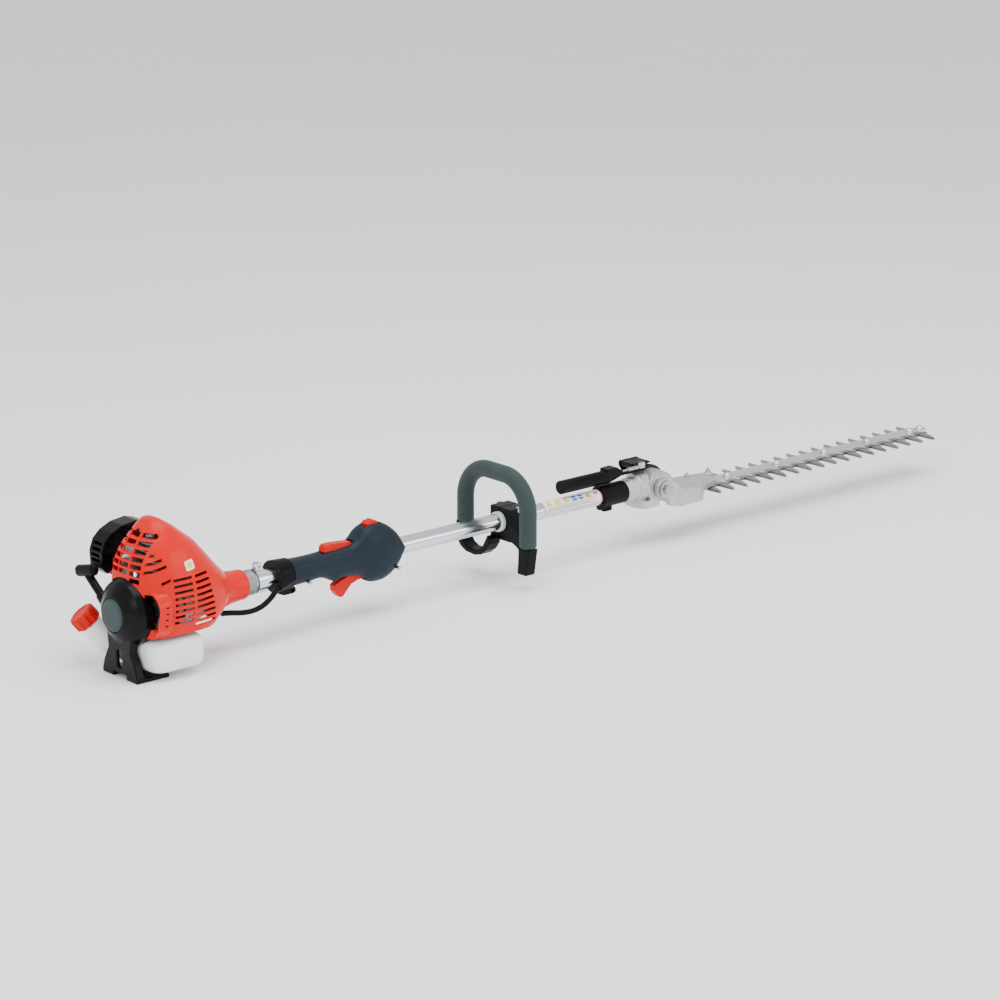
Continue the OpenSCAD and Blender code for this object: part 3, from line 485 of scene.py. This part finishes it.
labelBlue = plastic("labelBlue", (0.06, 0.16, 0.62), (0.05, 0.13, 0.55), (0.25, 0.35), 400, 0.000008)
labelOrange = plastic("labelOrange", (0.82, 0.3, 0.03), (0.76, 0.26, 0.03), (0.25, 0.35), 400, 0.000008)
# near-black for the discs that stand in for the foam grip's holes: painted shade
paintedHoleShade = plastic("paintedHoleShade", (0.004, 0.004, 0.004), (0.002, 0.002, 0.002), (0.5, 0.7), 600, 0.00005,
    shine=0.15)

bySlot = {
    "red_plastic": redControl, "black_plastic": blackSatin, "grey_badge": badgeGrey, "slate_plastic": slate,
    "tank_plastic": milky, "foam_rubber": foam, "soft_white": softWhite, "clear_bulb": clearBulb,
    "black_rubber": blackRubber, "cast_alloy": castAlloy, "bright_alloy": brightTube, "blade_steel": bladeSteel,
    "machined_steel": plainSteel, "sheet_steel": sheetSteel, "blackened_steel": blackSteel, "ceramic": ceramicWhite,
    "rope": ropeFibre, "filter_foam": filterFoam, "label_film": labelWhite,
}
for entry in frame["record"]["subparts"]:
    mesh = nodes[entry["node"]].data
    mesh.materials.clear()
    mesh.materials.append(bySlot[entry["material_slot"]])
# the inner engine parts take the darker copy of the cast alloy: painted shade for their place inside the shroud
for name in ("crankcase", "cylinder", "piston", "flywheel", "clutch_housing"):
    nodes[name].data.materials[0] = shadedAlloy
nodes["guide_bar"].data.materials[0] = barSteel

# ---------------------------------------------------------------- engine shroud
shroud = dict(heights=[-30, -12, 10, 30, 48, 62, 76, 89, 100, 109.5, 117, 123, 127, 128.8],
              front=[152, 172, 186, 181, 165, 153, 141, 129, 115, 103, 93, 83, 76, 71],
              rear=[22, 21, 20, 20, 21, 22, 25, 31, 38, 45, 50, 55, 60, 66],
              near=[-56, -62, -66, -65, -62, -58, -53, -47, -40, -33, -27, -20, -13, -3],
              far=[38, 42, 44, 44, 44, 43, 41, 38, 34, 29, 24, 19, 13, 3],
              middle=[84, 84, 84, 84, 82, 80, 78, 77, 76, 75, 74, 73, 71, 69],
              bluntRear=[5, 5, 5, 5, 4.6, 4.2, 3.8, 3.4, 3.0, 2.7, 2.5, 2.3, 2.2, 2.0],
              nearRear=[3.4, 3.2, 3.0, 3.0, 3.0, 2.9, 2.8, 2.7, 2.6, 2.5, 2.4, 2.3, 2.2, 2.0],
              bluntFront=[3.2, 2.8, 2.2, 2.1, 2.1, 2.1, 2.1, 2.1, 2.1, 2.1, 2.1, 2.0, 2.0, 2.0],
              wall=2.4, rows=150, cols=260)


def smoothInterp(x, xs, ys):
    # monotone-looking cubic through the stations, so sections change without kinks
    xs, ys = np.asarray(xs, float), np.asarray(ys, float)
    m = np.gradient(ys, xs)
    i = np.clip(np.searchsorted(xs, x) - 1, 0, len(xs) - 2)
    h = xs[i + 1] - xs[i]
    t = (x - xs[i]) / h
    return ((2 * t ** 3 - 3 * t ** 2 + 1) * ys[i] + (t ** 3 - 2 * t ** 2 + t) * h * m[i]
            + (-2 * t ** 3 + 3 * t ** 2) * ys[i + 1] + (t ** 3 - t ** 2) * h * m[i + 1])


def shroudSurface(inset=0.0):
    # horizontal slices, each a super-ellipse with its own front, rear, near and far reach
    s = shroud
    u = np.linspace(0, 1, s["rows"])
    z = s["heights"][0] + (s["heights"][-1] - s["heights"][0]) * (1 - (1 - u) ** 1.25)
    get = {k: smoothInterp(z, s["heights"], s[k]) for k in s if isinstance(s[k], list) and k != "heights"}
    a = np.linspace(0, 2 * np.pi, s["cols"], endpoint=False)
    ca, sa = np.cos(a)[None], np.sin(a)[None]
    forward = ca > 0
    backBlunt = np.where(sa < 0, get["nearRear"][:, None], get["bluntRear"][:, None])
    p = np.where(forward, get["bluntFront"][:, None], backBlunt)
    w = np.clip(np.abs(ca) * 3, 0, 1)
    p = p * w + 3.2 * (1 - w)
    r = (np.abs(ca) ** p + np.abs(sa) ** p) ** (-1 / p)
    reachX = np.where(forward, (get["front"] - get["middle"])[:, None], (get["middle"] - get["rear"])[:,
        None]) - inset
    reachY = np.where(sa > 0, get["far"][:, None], -get["near"][:, None]) - inset
    x = get["middle"][:, None] + reachX * r * ca
    y = reachY * r * sa
    zz = np.repeat(z[:, None], len(a), 1)
    return np.stack([x, y, zz - inset * (u[:, None] > 0.97)], -1)


rings = shroudSurface()
points, faces = loft(rings, capped=False)
top = rings[-1].mean(0)
points = np.vstack([points, top])
count = shroud["cols"]
base = (shroud["rows"] - 1) * count
faces += [[base + j, base + (j + 1) % count, len(points) - 1] for j in range(count)]
shell = tempObject(points, faces, "shell")
wall = shell.modifiers.new("wall", "SOLIDIFY")
wall.thickness, wall.offset = shroud["wall"], -1
applyAll(shell)

cuts = []
grille = dict(columns=[(-32, -12), (-8, 12), (14, 33)], rows=[(46 + 9.8 * i, 52.8 + 9.8 * i) for i in range(7)])
for k, (y0, y1) in enumerate(grille["columns"]):
    for j, (z0, z1) in enumerate(grille["rows"]):
        if j == 0 and k > 0:
            continue
        cuts.append(boxMesh((5, y0, z0), (60, y1, z1)))
for j in range(9):
    z0 = -20 + 8.6 * j
    cuts.append(boxMesh((97, -90, z0), (135 - 1.6 * j, -38, z0 + 4)))
    if j > 0:
        cuts.append(boxMesh((61, -90, z0), (92, -44, z0 + 4)))
for x0, x1, z0 in ((23, 45, 78), (23, 52, 69), (24, 56, 59.5), (44, 58, 46)):
    pts, fcs = boxMesh((x0, -90, 0), (x1, -36, 4.4))
    pts[:, 2] += z0 + (pts[:, 0] - x0) * 0.3
    cuts.append((pts, fcs))
cuts.append(turned([(0, 4.6), (40, 4.6)], (81, -85, -7), (0, 1, 0), 24))
cuts.append(turned([(0, 49.6), (60, 49.6)], (0, 0, 0), (1, 0, 0), 96))
cuts.append(boxMesh((22, -90, -16), (54, -40, 34)))
cuts.append(boxMesh((46, 30, 26), (104, 60, 82)))
for z0 in (-24, -8, 8, 20):
    cuts.append(turned([(0, 1.4), (30, 1.4)], (28, -80, z0), (0, 1, 0), 12))
cutter = tempObject(*merged(cuts), "cutter")
carve(shell, cutter)
toPiece(shell, "engineShroud", "machine", redGloss, ["engine_cover"], sharp=30)
print("shroud")

neck = dict(stations=[(150, 30, 19), (166, 33, 21), (178, 29.5, 25.5), (190, 25, 24.5), (205, 22.6, 22.6), (219,
    21.8, 21.8)])
st = np.array(neck["stations"], float)
xs = np.linspace(150, 219, 50)
ry, rz = smoothInterp(xs, st[:, 0], st[:, 1]), smoothInterp(xs, st[:, 0], st[:, 2])
a = np.linspace(0, 2 * np.pi, 96, endpoint=False)
outer = np.stack([np.repeat(xs[:, None], 96, 1), ry[:, None] * np.cos(a), rz[:, None] * np.sin(a)], -1)
lip = np.array([(220.4, 21.4), (221, 20.6), (220.6, 19.7), (206, 19.4)])
inner = np.stack([np.repeat(lip[:, :1], 96, 1), lip[:, 1:] * np.cos(a), lip[:, 1:] * np.sin(a)], -1)
points, faces = loft(np.concatenate([outer, inner]), capped=False)
makePiece("shroudNeck", points, faces, "machine", "red_plastic", redGloss)

# ---------------------------------------------------------------- tank and cap
print("tank")
points, faces = superBox((73, 2.5, -58), (45, 65.5, 24), 5.5, 60, 96)
# the underside rises towards the far side, where the filler stands
rise = np.clip((points[:, 1] - 20) / 48, 0, 1)
points[:, 2] = np.where(points[:, 2] < -58, -58 + (points[:, 2] + 58) * (1 - 0.62 * rise ** 1.3), points[:, 2])
filler = dict(direction=(-0.5633, 0.2989, 0.7703), base=(15.3, 78.0, -31.3), neck=17.0, mouth=12.0)
direction, start = np.array(filler["direction"]), np.array(filler["base"])
neckLine = roundEdge([(-46, filler["neck"]), (-4, filler["neck"]), (-1, 15), (-1, filler["mouth"]), (9,
    filler["mouth"])], 1.5)
tankBody = tempObject(*merged([(points, faces), turned(neckLine, start, direction, 64)]), "tank")
softened(tankBody, 1.2, 5)
toPiece(tankBody, "fuelTank", "machine", milky, ["fuel_tank"])

a = np.linspace(0, 2 * np.pi, 240, endpoint=False)
cap = dict(ribs=10, height=20.0, radius=19.3)
prof = roundEdge([(0, 0.01), (0, 18.4), (1.4, cap["radius"]), (15.5, cap["radius"]), (18.6, 18.2), (19.7, 15.2),
    (19.7, 12.6),
                  (18.8, 12), (18.8, 0.01)], 0.9)
across = np.cross(direction, [0, 0, 1.0])
across /= np.linalg.norm(across)
side = np.cross(direction, across)
circle = np.cos(a)[:, None] * across + np.sin(a)[:, None] * side
ripple = 0.06 * np.clip(np.cos(cap["ribs"] * a) * 1.6, -1, 0.6)
belt = np.clip((prof[:, 1] - 14) / 5, 0, 1)[:, None]
radii = prof[:, 1, None] * (1 + ripple[None] * belt)
rings = start + prof[:, 0, None, None] * direction + radii[..., None] * circle[None]
makePiece("fuelCap", *loft(rings), "cap", "red_plastic", redControl, ["fuel_cap"], sharp=50)

# ---------------------------------------------------------------- starter
print("starter")
starter = softened(fromNode("starter_cover"), 0.95, 5)
toPiece(starter, "starterHousing", "machine", blackGloss, ["starter_cover"])
prof = roundEdge([(4.2, 0.01), (4.2, 23.2), (0.6, 23.4), (-0.8, 22.4), (-1.4, 18), (-1.5, 0.01)], 0.8)
makePiece("starterBadge", *turned(prof, (0, 0, 0), (1, 0, 0), 96), "machine", "grey_badge", badgeGrey,
    ["starter_badge"])
pull = softened(fromNode("starter_grip"), 0.7, 4)
toPiece(pull, "starterPull", "puller", blackSatin, ["starter_grip"])


def nearY(x, z):
    # the shroud's near side at (x, z), from the same super-ellipse as its slices
    s = shroud
    get = {k: smoothInterp(np.asarray(z, float), s["heights"], s[k]) for k in ("front", "rear", "near", "middle",
        "nearRear", "bluntFront")}
    dx = x - get["middle"]
    forward = dx > 0
    u = np.clip(np.abs(dx) / np.where(forward, get["front"] - get["middle"], get["middle"] - get["rear"]), 0, 1)
    w = np.clip(u * 3, 0, 1)
    p = np.where(forward, get["bluntFront"], get["nearRear"]) * w + 3.2 * (1 - w)
    return get["near"] * (1 - u ** p) ** (1 / p)


def shroudPatch(name, centre, size, tilt, material, lift, corner=0.25, rows=18, cols=26):
    # a rounded-rectangle film laid on the shroud's near side
    a = np.linspace(-1, 1, cols)[None] * np.ones((rows, 1))
    b = np.linspace(-1, 1, rows)[:, None] * np.ones((1, cols))
    shrink = 1 - corner * np.clip((np.abs(b) - 0.6) / 0.4, 0, 1) ** 3
    u, v = a * shrink * size[0] / 2, b * size[1] / 2
    c, d = math.cos(math.radians(tilt)), math.sin(math.radians(tilt))
    x, z = centre[0] + u * c - v * d, centre[1] + u * d + v * c
    y = nearY(x, z)
    front = np.stack([x, y - lift, z], -1)
    back = np.stack([x, y + 0.4, z], -1)
    pts = np.concatenate([front.reshape(-1, 3), back.reshape(-1, 3)])
    n = rows * cols
    faces = gridFaces(rows, cols, wrapCols=False).tolist()
    faces += gridFaces(rows, cols, wrapCols=False, start=n)[:, ::-1].tolist()
    index = np.arange(n).reshape(rows, cols)
    rim = np.concatenate([index[0, :-1], index[:-1, -1], index[-1, :0:-1], index[:0:-1, 0]])
    faces += [[rim[i], rim[(i + 1) % len(rim)], rim[(i + 1) % len(rim)] + n, rim[i] + n] for i in range(len(rim))]
    return makePiece(name, pts, faces, "machine", "label_film", material)


shroudPatch("engineLabel", (92, 67), (15, 13), 8, labelWhite, 0.25)
shroudPatch("engineLabelMark", (92, 67), (8, 8), 8, labelYellow, 0.45, 0.9)

# the heat guard: a hood standing off the near side, open towards the rear
guard = dict(rear=28.5, front=60, low=-24, high=40, base=-42, stand=23, rows=60, cols=50)
t = np.linspace(0, 1, guard["rows"])[:, None] * np.ones((1, guard["cols"]))
q = np.linspace(0, 1, guard["cols"])[None] * np.ones((guard["rows"], 1))
rise = smoothInterp(t, [0, 0.1, 0.17, 0.24, 0.8, 0.9, 1.0], [0.55, 0.85, 0.98, 1.0, 1.0, 0.72, 0.08])
fall = 1 - np.clip((q - 0.72) / 0.28, 0, 1) ** 1.4 * 0.62
x = guard["rear"] + 2.5 * rise + q * (guard["front"] - guard["rear"] - 2.5 * rise)
y = guard["base"] - guard["stand"] * rise * fall - 10 * q * (1 - rise)
z = guard["low"] + (guard["high"] - guard["low"]) * t
hood = tempObject(np.stack([x, y, z], -1).reshape(-1, 3), gridFaces(guard["rows"], guard["cols"],
    wrapCols=False), "hood")
sheet = hood.modifiers.new("sheet", "SOLIDIFY")
sheet.thickness, sheet.offset = 2.2, 0
applyAll(hood)
cuts = [boxMesh((42, -90, z0), (47, -60, z0 + 2.2)) for z0 in (-10, -1, 8, 17)]
carve(hood, tempObject(*merged(cuts), "cutter"))
toPiece(hood, "heatGuard", "machine", redGloss, sharp=30)

print("engine parts")
toPiece(softened(fromNode("air_cleaner_case"), 0.9, 4), "airCleaner", "machine", blackGloss,
    ["air_cleaner_case"])
toPiece(softened(fromNode("carburetor"), 0.8, 3), "carburettorBody", "machine", castAlloy,
    ["carburetor"])
muffler = softened(fromNode("muffler"), 0.9, 3)
proud = merged([boxMesh((40, -90, -40), (90, -55, 40)), boxMesh((40, -90, 54), (120, -44.5, 80))])
carve(muffler, tempObject(*proud, "cutter"))
toPiece(muffler, "mufflerBox", "machine", sheetSteel, ["muffler"])

# ---------------------------------------------------------------- drive tube, conduit, labels
print("tube")


def hollow(profile, start, axis, count=96):
    # a closed (along, radius) profile turned round an axis, so the piece has a real bore
    points, faces = turned(profile, start, axis, count)
    rows = len(profile)
    return points, gridFaces(rows, count, wrapRows=True).tolist()


span = dict(start=236.0, end=962.0, wall=1.6)
length = span["end"] - span["start"]
inner = tube["radius"] - span["wall"]
rim = [(0, inner), (0.0, 12.4), (0.3, 12.7)] + [(x, 12.7) for x in np.linspace(6, length - 6,
    40)] + [(length - 0.3, 12.7), (length, 12.4), (length, inner)]
makePiece("driveTube", *hollow(rim, (span["start"], 0, 0), (1, 0, 0), 128), "machine", "bright_alloy",
    brightTube, ["drive_tube"])

conduitPath = [(176, -12, -31), (190, -14, -32.6), (204, -17.4, -34.6), (216, -19.6, -35.4), (228, -20.9, -34.6),
    (239, -21.5, -32),
               (250, -21.2, -27.2), (260, -20.2, -20.8), (270, -18.4, -12.8), (279, -17.4, -5.8), (288, -17.2,
                   -2.3), (297, -17.2, -1.6)]
path, along = smoothPath(conduitPath, 760)
ridged = 4.15 - 0.34 * (0.5 + 0.5 * np.cos(2 * np.pi * along / 2.6))
makePiece("cableConduit", *tubeAlong(path, ridged, (0, 1, 0), 30), "machine", "black_plastic", blackSatin,
    ["throttle_conduit"])


def wrapPatch(name, x0, x1, low, high, lift, material, cols=24, rows=30, replaces=()):
    # a film on the tube: low and high give its edges, in degrees round the axis, for each place along it (0 to 1)
    s = np.linspace(0, 1, cols)
    u = np.linspace(0, 1, rows)[:, None]
    lo, hi = np.broadcast_to(low(s), (cols,)), np.broadcast_to(high(s), (cols,))
    angle = np.radians(lo[None] + (hi - lo)[None] * u)
    x = np.broadcast_to(x0 + (x1 - x0) * s, angle.shape)
    shells = []
    for r in (tube["radius"] + lift, tube["radius"] - 0.1):
        shells.append(np.stack([x, -r * np.cos(angle), r * np.sin(angle)], -1).reshape(-1, 3))
    n = rows * cols
    faces = gridFaces(rows, cols, wrapCols=False).tolist() + gridFaces(rows, cols, wrapCols=False, start=n)[:,
        ::-1].tolist()
    index = np.arange(n).reshape(rows, cols)
    rim = np.concatenate([index[0, :-1], index[:-1, -1], index[-1, :0:-1], index[:0:-1, 0]])
    faces += [[rim[i], rim[(i + 1) % len(rim)], rim[(i + 1) % len(rim)] + n, rim[i] + n] for i in range(len(rim))]
    return makePiece(name, np.concatenate(shells), faces, "machine", "label_film", material, replaces)


label = dict(start=783, end=900, low=-18, high=108)
wrapPatch("tubeLabelBorder", label["start"], label["end"], lambda s: label["low"] + 0 * s,
    lambda s: label["high"] + 0 * s, 0.2, labelPink,
          replaces=["tube_label"])
wrapPatch("tubeLabelFace", label["start"] + 2, label["end"] - 2, lambda s: label["low"] + 6 + 0 * s,
    lambda s: label["high"] - 6 + 0 * s, 0.26, labelWhite)


def triangleMark(name, x0, width, low, high, material):
    # a plain triangle, its point upwards
    wrapPatch(name, x0, x0 + width, lambda s: low + 0 * s,
        lambda s: low + 2 + (high - low) * (1 - np.abs(2 * s - 1)), 0.34, material, 25, 14)


def barMark(name, x0, width, low, high, material):
    wrapPatch(name, x0, x0 + width, lambda s: low + 0 * s, lambda s: high + 0 * s, 0.34, material, 8, 14)


for i, x0 in enumerate((789, 806, 823)):
    triangleMark("tubeMarkYellow%d" % i, x0, 13, 34, 78, labelYellow)
triangleMark("tubeMarkOrange", 868, 12, 36, 76, labelOrange)
for i, (x0, width, low, high) in enumerate(((842, 9, 34, 52), (842, 9, 58, 76), (855, 9, 34, 52), (855, 9, 58,
    76))):
    barMark("tubeMarkBlue%d" % i, x0, width, low, high, labelBlue)
for i, low in enumerate((2, 12, 22)):
    barMark("tubeMarkLine%d" % i, 790, 96 - 14 * (i % 2), low, low + 3, badgeGrey)
barMark("tubeMarkPink", 886, 8, 44, 66, labelPink)

# ---------------------------------------------------------------- rear grip
print("grip")
gripShape = dict(
    x=[302, 330, 366, 376, 381, 388, 396, 412, 424, 434, 444, 456, 472, 488, 499, 507],
    top=[20, 19, 19.5, 19.8, 20, 20.4, 21, 23.5, 31, 41, 45.5, 46.5, 43.5, 34, 23, 8],
    low=[-20, -19, -20, -25, -28, -26, -24.5, -25, -27, -33, -40, -42.5, -41, -33, -22, -6],
    half=[18.5, 17.4, 17.2, 17.5, 17.7, 18, 18.6, 20.4, 22.6, 24.4, 25.4, 25.8, 25.2, 22.6, 19.2, 16],
    power=[2.3, 2.4, 2.5, 2.7, 2.8, 2.8, 2.8, 2.7, 2.6, 2.5, 2.5, 2.5, 2.5, 2.4, 2.3, 2.2])


def gripHalf(side):
    # sections along x, each half a super-ellipse, shut by the flat joint face in the middle
    g = gripShape
    x = np.concatenate([np.linspace(302, 493, 126), 493 + 14 * np.sin(np.linspace(0, np.pi / 2, 24))[1:]])
    top, low, half, power = (smoothInterp(x, g["x"], g[k]) for k in ("top", "low", "half", "power"))
    a = np.linspace(-np.pi / 2, np.pi / 2, 72)
    c, s = np.cos(a)[None], np.sin(a)[None]
    p = power[:, None]
    r = (np.abs(c) ** p + np.abs(s) ** p) ** (-1 / p)
    y = side * np.maximum(half[:, None] * r * c, 0.04)
    mid, reach = (top + low) / 2, (top - low) / 2
    z = mid[:, None] + reach[:, None] * r * s
    rings = np.stack([np.repeat(x[:, None], len(a), 1), y, z], -1)
    return loft(rings)


for side, word in ((-1, "near"), (1, "far")):
    half = tempObject(*gripHalf(side), "half")
    cuts = [boxMesh((376, -6.8, -60), (441, 6.8, -10)), boxMesh((425, -10, -36), (470, 10, -8)), boxMesh((361,
        -7.6, 10), (419, 7.6, 45)),
            boxMesh((440, -8.6, 34), (470, 8.6, 60)), boxMesh((437, -14, 14), (474, 14, 36)),
            turned([(0, 12.75), (240, 12.75)], (290, 0, 0), (1, 0, 0), 96)]
    cuts.append(turned([(0, 1.3), (12, 1.3)], (484, side * 30, -18), (0, -side, 0), 16))
    carve(half, tempObject(*merged(cuts), "cutter"))
    toPiece(half, word + "GripShell", "machine", slate, ["grip_%s_shell" % word], sharp=35)
toPiece(softened(fromNode("grip_end_cap"), 0.7, 4), "gripEndCap", "machine", blackSatin,
    ["grip_end_cap"])
toPiece(softened(fromNode("throttle_trigger"), 0.5, 4), "throttleTrigger", "trigger", redControl,
    ["throttle_trigger"])
toPiece(softened(fromNode("lockout_lever"), 0.5, 4), "lockoutWedge", "lockout", redControl,
    ["lockout_lever"])
toPiece(softened(fromNode("stop_switch"), 0.45, 2), "stopSlider", "switch", redControl,
    ["stop_switch"])

# ---------------------------------------------------------------- loop handle
print("loop handle")
loop = dict(x=697.0, y=71.0, z=78.0, bend=52.0, foam=13.0)


def loopPath(nearEnd, farEnd, count):
    l = loop
    cy, cz = l["y"] - l["bend"], l["z"] - l["bend"]
    a = np.linspace(np.pi, np.pi / 2, 30)
    left = np.stack([-cy + l["bend"] * np.cos(a), cz + l["bend"] * np.sin(a)], -1)
    right = np.stack([-left[::-1, 0], left[::-1, 1]], -1)
    yz = np.vstack([[[-l["y"], nearEnd]], left, right, [[l["y"], farEnd]]])
    s = np.concatenate([[0], np.cumsum(np.linalg.norm(np.diff(yz, axis=0), axis=1))])
    u = np.linspace(0, s[-1], count)
    return np.stack([np.full(count, l["x"]), np.interp(u, s, yz[:, 0]), np.interp(u, s, yz[:, 1])], -1), u


path, along = loopPath(-24, -11.8, 400)
ends = np.minimum(along, along[-1] - along)
radius = loop["foam"] - 1.6 * (1 - np.sqrt(np.clip(ends / 2.2, 0, 1)))
makePiece("foamGrip", *tubeAlong(path, radius, (1, 0, 0), 64), "machine", "foam_rubber", foam, ["loop_grip"])
# dark discs set into the foam's surface where the grip has holes: painted shade in place of real holes
holeShadeDiscs = []
for place in (12, 30, 88, 128, along[-1] - 128, along[-1] - 88, along[-1] - 30, along[-1] - 12):
    i = int(np.argmin(np.abs(along - place)))
    tangent = path[min(i + 1, len(path) - 1)] - path[i - 1]
    tangent /= np.linalg.norm(tangent)
    outward = np.cross(tangent, [1.0, 0, 0])
    aim = -0.8 * np.array([1.0, 0, 0]) + 0.6 * outward
    holeShadeDiscs.append(turned([(12.2, 1.1), (13.04, 1.1), (13.06, 0.7), (13.06, 0.01)], path[i], aim, 14))
makePiece("foamHoleShadeDiscs", *merged(holeShadeDiscs), "machine", "foam_rubber", paintedHoleShade)
toPiece(softened(fromNode("loop_frame"), 0.9, 4), "loopFrame", "machine", blackSatin,
    ["loop_frame"])
toPiece(softened(fromNode("loop_clamp"), 0.9, 4), "loopClamp", "machine", blackSatin,
    ["loop_clamp"])

# ---------------------------------------------------------------- head
print("head")
toPiece(softened(fromNode("head_sleeve"), 0.8, 4), "headSleeve", "machine", blackSatin,
    ["head_sleeve"])
toPiece(softened(fromNode("input_case"), 0.8, 4), "inputCase", "machine", castAlloy, ["input_case"])
toPiece(softened(fromNode("cutter_case"), 0.8, 3), "cutterCase", "cutter", castAlloy, ["cutter_case"])
toPiece(softened(fromNode("adjust_handle"), 0.8, 4), "adjustHandle", "cutter", blackSatin,
    ["adjust_handle"])

# ---------------------------------------------------------------- blades
print("blades")
blade = dict(pitch=29.0, count=18, first=1122.0, reach=45.0, top=-21.3, thick=2.0, slots=[1180, 1291, 1400, 1502,
    1603, 1628], slot=21.5)


def bladePiece(name, top, body, node):
    # one outline round the spine and both rows of teeth, its cutting edges ground back as a bevel
    b = blade
    i = np.arange(b["count"])[:, None]
    along, out = np.array([-3, -1.5, 0.2, 2.2, 14]), np.array([13, b["reach"] - 1, b["reach"] + 0.6,
        b["reach"] - 0.4, 13])
    root = b["first"] + b["pitch"] * i
    near = np.stack([root + along, -out + 0.0 * i], -1).reshape(-1, 2)
    far = np.stack([root[::-1] + 6 - along, out + 0.0 * i], -1).reshape(-1, 2)
    end = b["first"] + b["pitch"] * 17.65
    outline = np.vstack([[[1090, -13]], near, [[end, -13], [end, 13]], far, [[1090, 13]]])
    plate = tempObject(*slab(outline, top - b["thick"], top, "xy", 0.75, 3), "plate")
    cuts = [boxMesh((x - b["slot"] / 2, -3.3, top - 5), (x + b["slot"] / 2, 3.3, top + 5)) for x in b["slots"]]
    carve(plate, tempObject(*merged(cuts), "cutter"))
    return toPiece(plate, name, body, bladeSteel, [node], sharp=20)


bladePiece("topBlade", blade["top"], "top_blade", "upper_blade")
bladePiece("bottomBlade", blade["top"] - 2.3, "bottom_blade", "lower_blade")

# ---------------------------------------------------------------- camera, light, floor
print("stage")
view = dict(azimuth=41.1, elevation=15.9, place=(-2.6511, -3.8023, 1.5620), lens=126.7)
lensData = bpy.data.cameras.new("camera")
lensData.lens, lensData.sensor_width, lensData.clip_end = view["lens"], 36.0, 60.0
camera = bpy.data.objects.new("camera", lensData)
bpy.context.scene.collection.objects.link(camera)
az, el = math.radians(view["azimuth"]), math.radians(view["elevation"])
forward = Vector((math.sin(az) * math.cos(el), math.cos(az) * math.cos(el), -math.sin(el)))
camera.location = view["place"]
camera.rotation_euler = forward.to_track_quat("-Z", "Y").to_euler()
bpy.context.scene.camera = camera

floorMesh = bpy.data.meshes.new("floor")
reach = 9.0
floorMesh.from_pydata([(-reach, -reach, 0), (reach, -reach, 0), (reach, reach, 0), (-reach, reach, 0)], [], [(0,
    1, 2, 3)])
floor = bpy.data.objects.new("floor", floorMesh)
bpy.context.scene.collection.objects.link(floor)
floorPaint, floorShader, floorAt = newMaterial("floorPaint", {"Specular IOR Level": 0.1})
plug(floorShader, "Base Color", floorAt.noise(2, 2).span(0.3, 0.7).mix((0.93, 0.93, 0.93), (0.95, 0.95, 0.95)))
floorShader.inputs["Roughness"].default_value = 0.9
floorMesh.materials.append(floorPaint)

world = bpy.data.worlds.new("studio")
bpy.context.scene.world = world
world.use_nodes = True
world.node_tree.nodes["Background"].inputs["Color"].default_value = (1, 1, 1, 1)
world.node_tree.nodes["Background"].inputs["Strength"].default_value = 1.05


def softLight(name, place, target, size, power):
    data = bpy.data.lights.new(name, "AREA")
    data.shape, data.size, data.size_y, data.energy = "RECTANGLE", size[0], size[1], power
    lamp = bpy.data.objects.new(name, data)
    bpy.context.scene.collection.objects.link(lamp)
    lamp.location = place
    lamp.rotation_euler = (Vector(target) - Vector(place)).to_track_quat("-Z", "Y").to_euler()
    return lamp


softLight("overhead", (0.4, -0.6, 3.2), (0.6, 0, 0), (3.2, 2.2), 120)
softLight("fromLeft", (-2.6, -1.4, 1.8), (0.3, 0, 0.1), (1.6, 1.6), 34)
softLight("fromRight", (2.4, -3.0, 1.4), (0.7, 0, 0.1), (1.8, 1.4), 28)
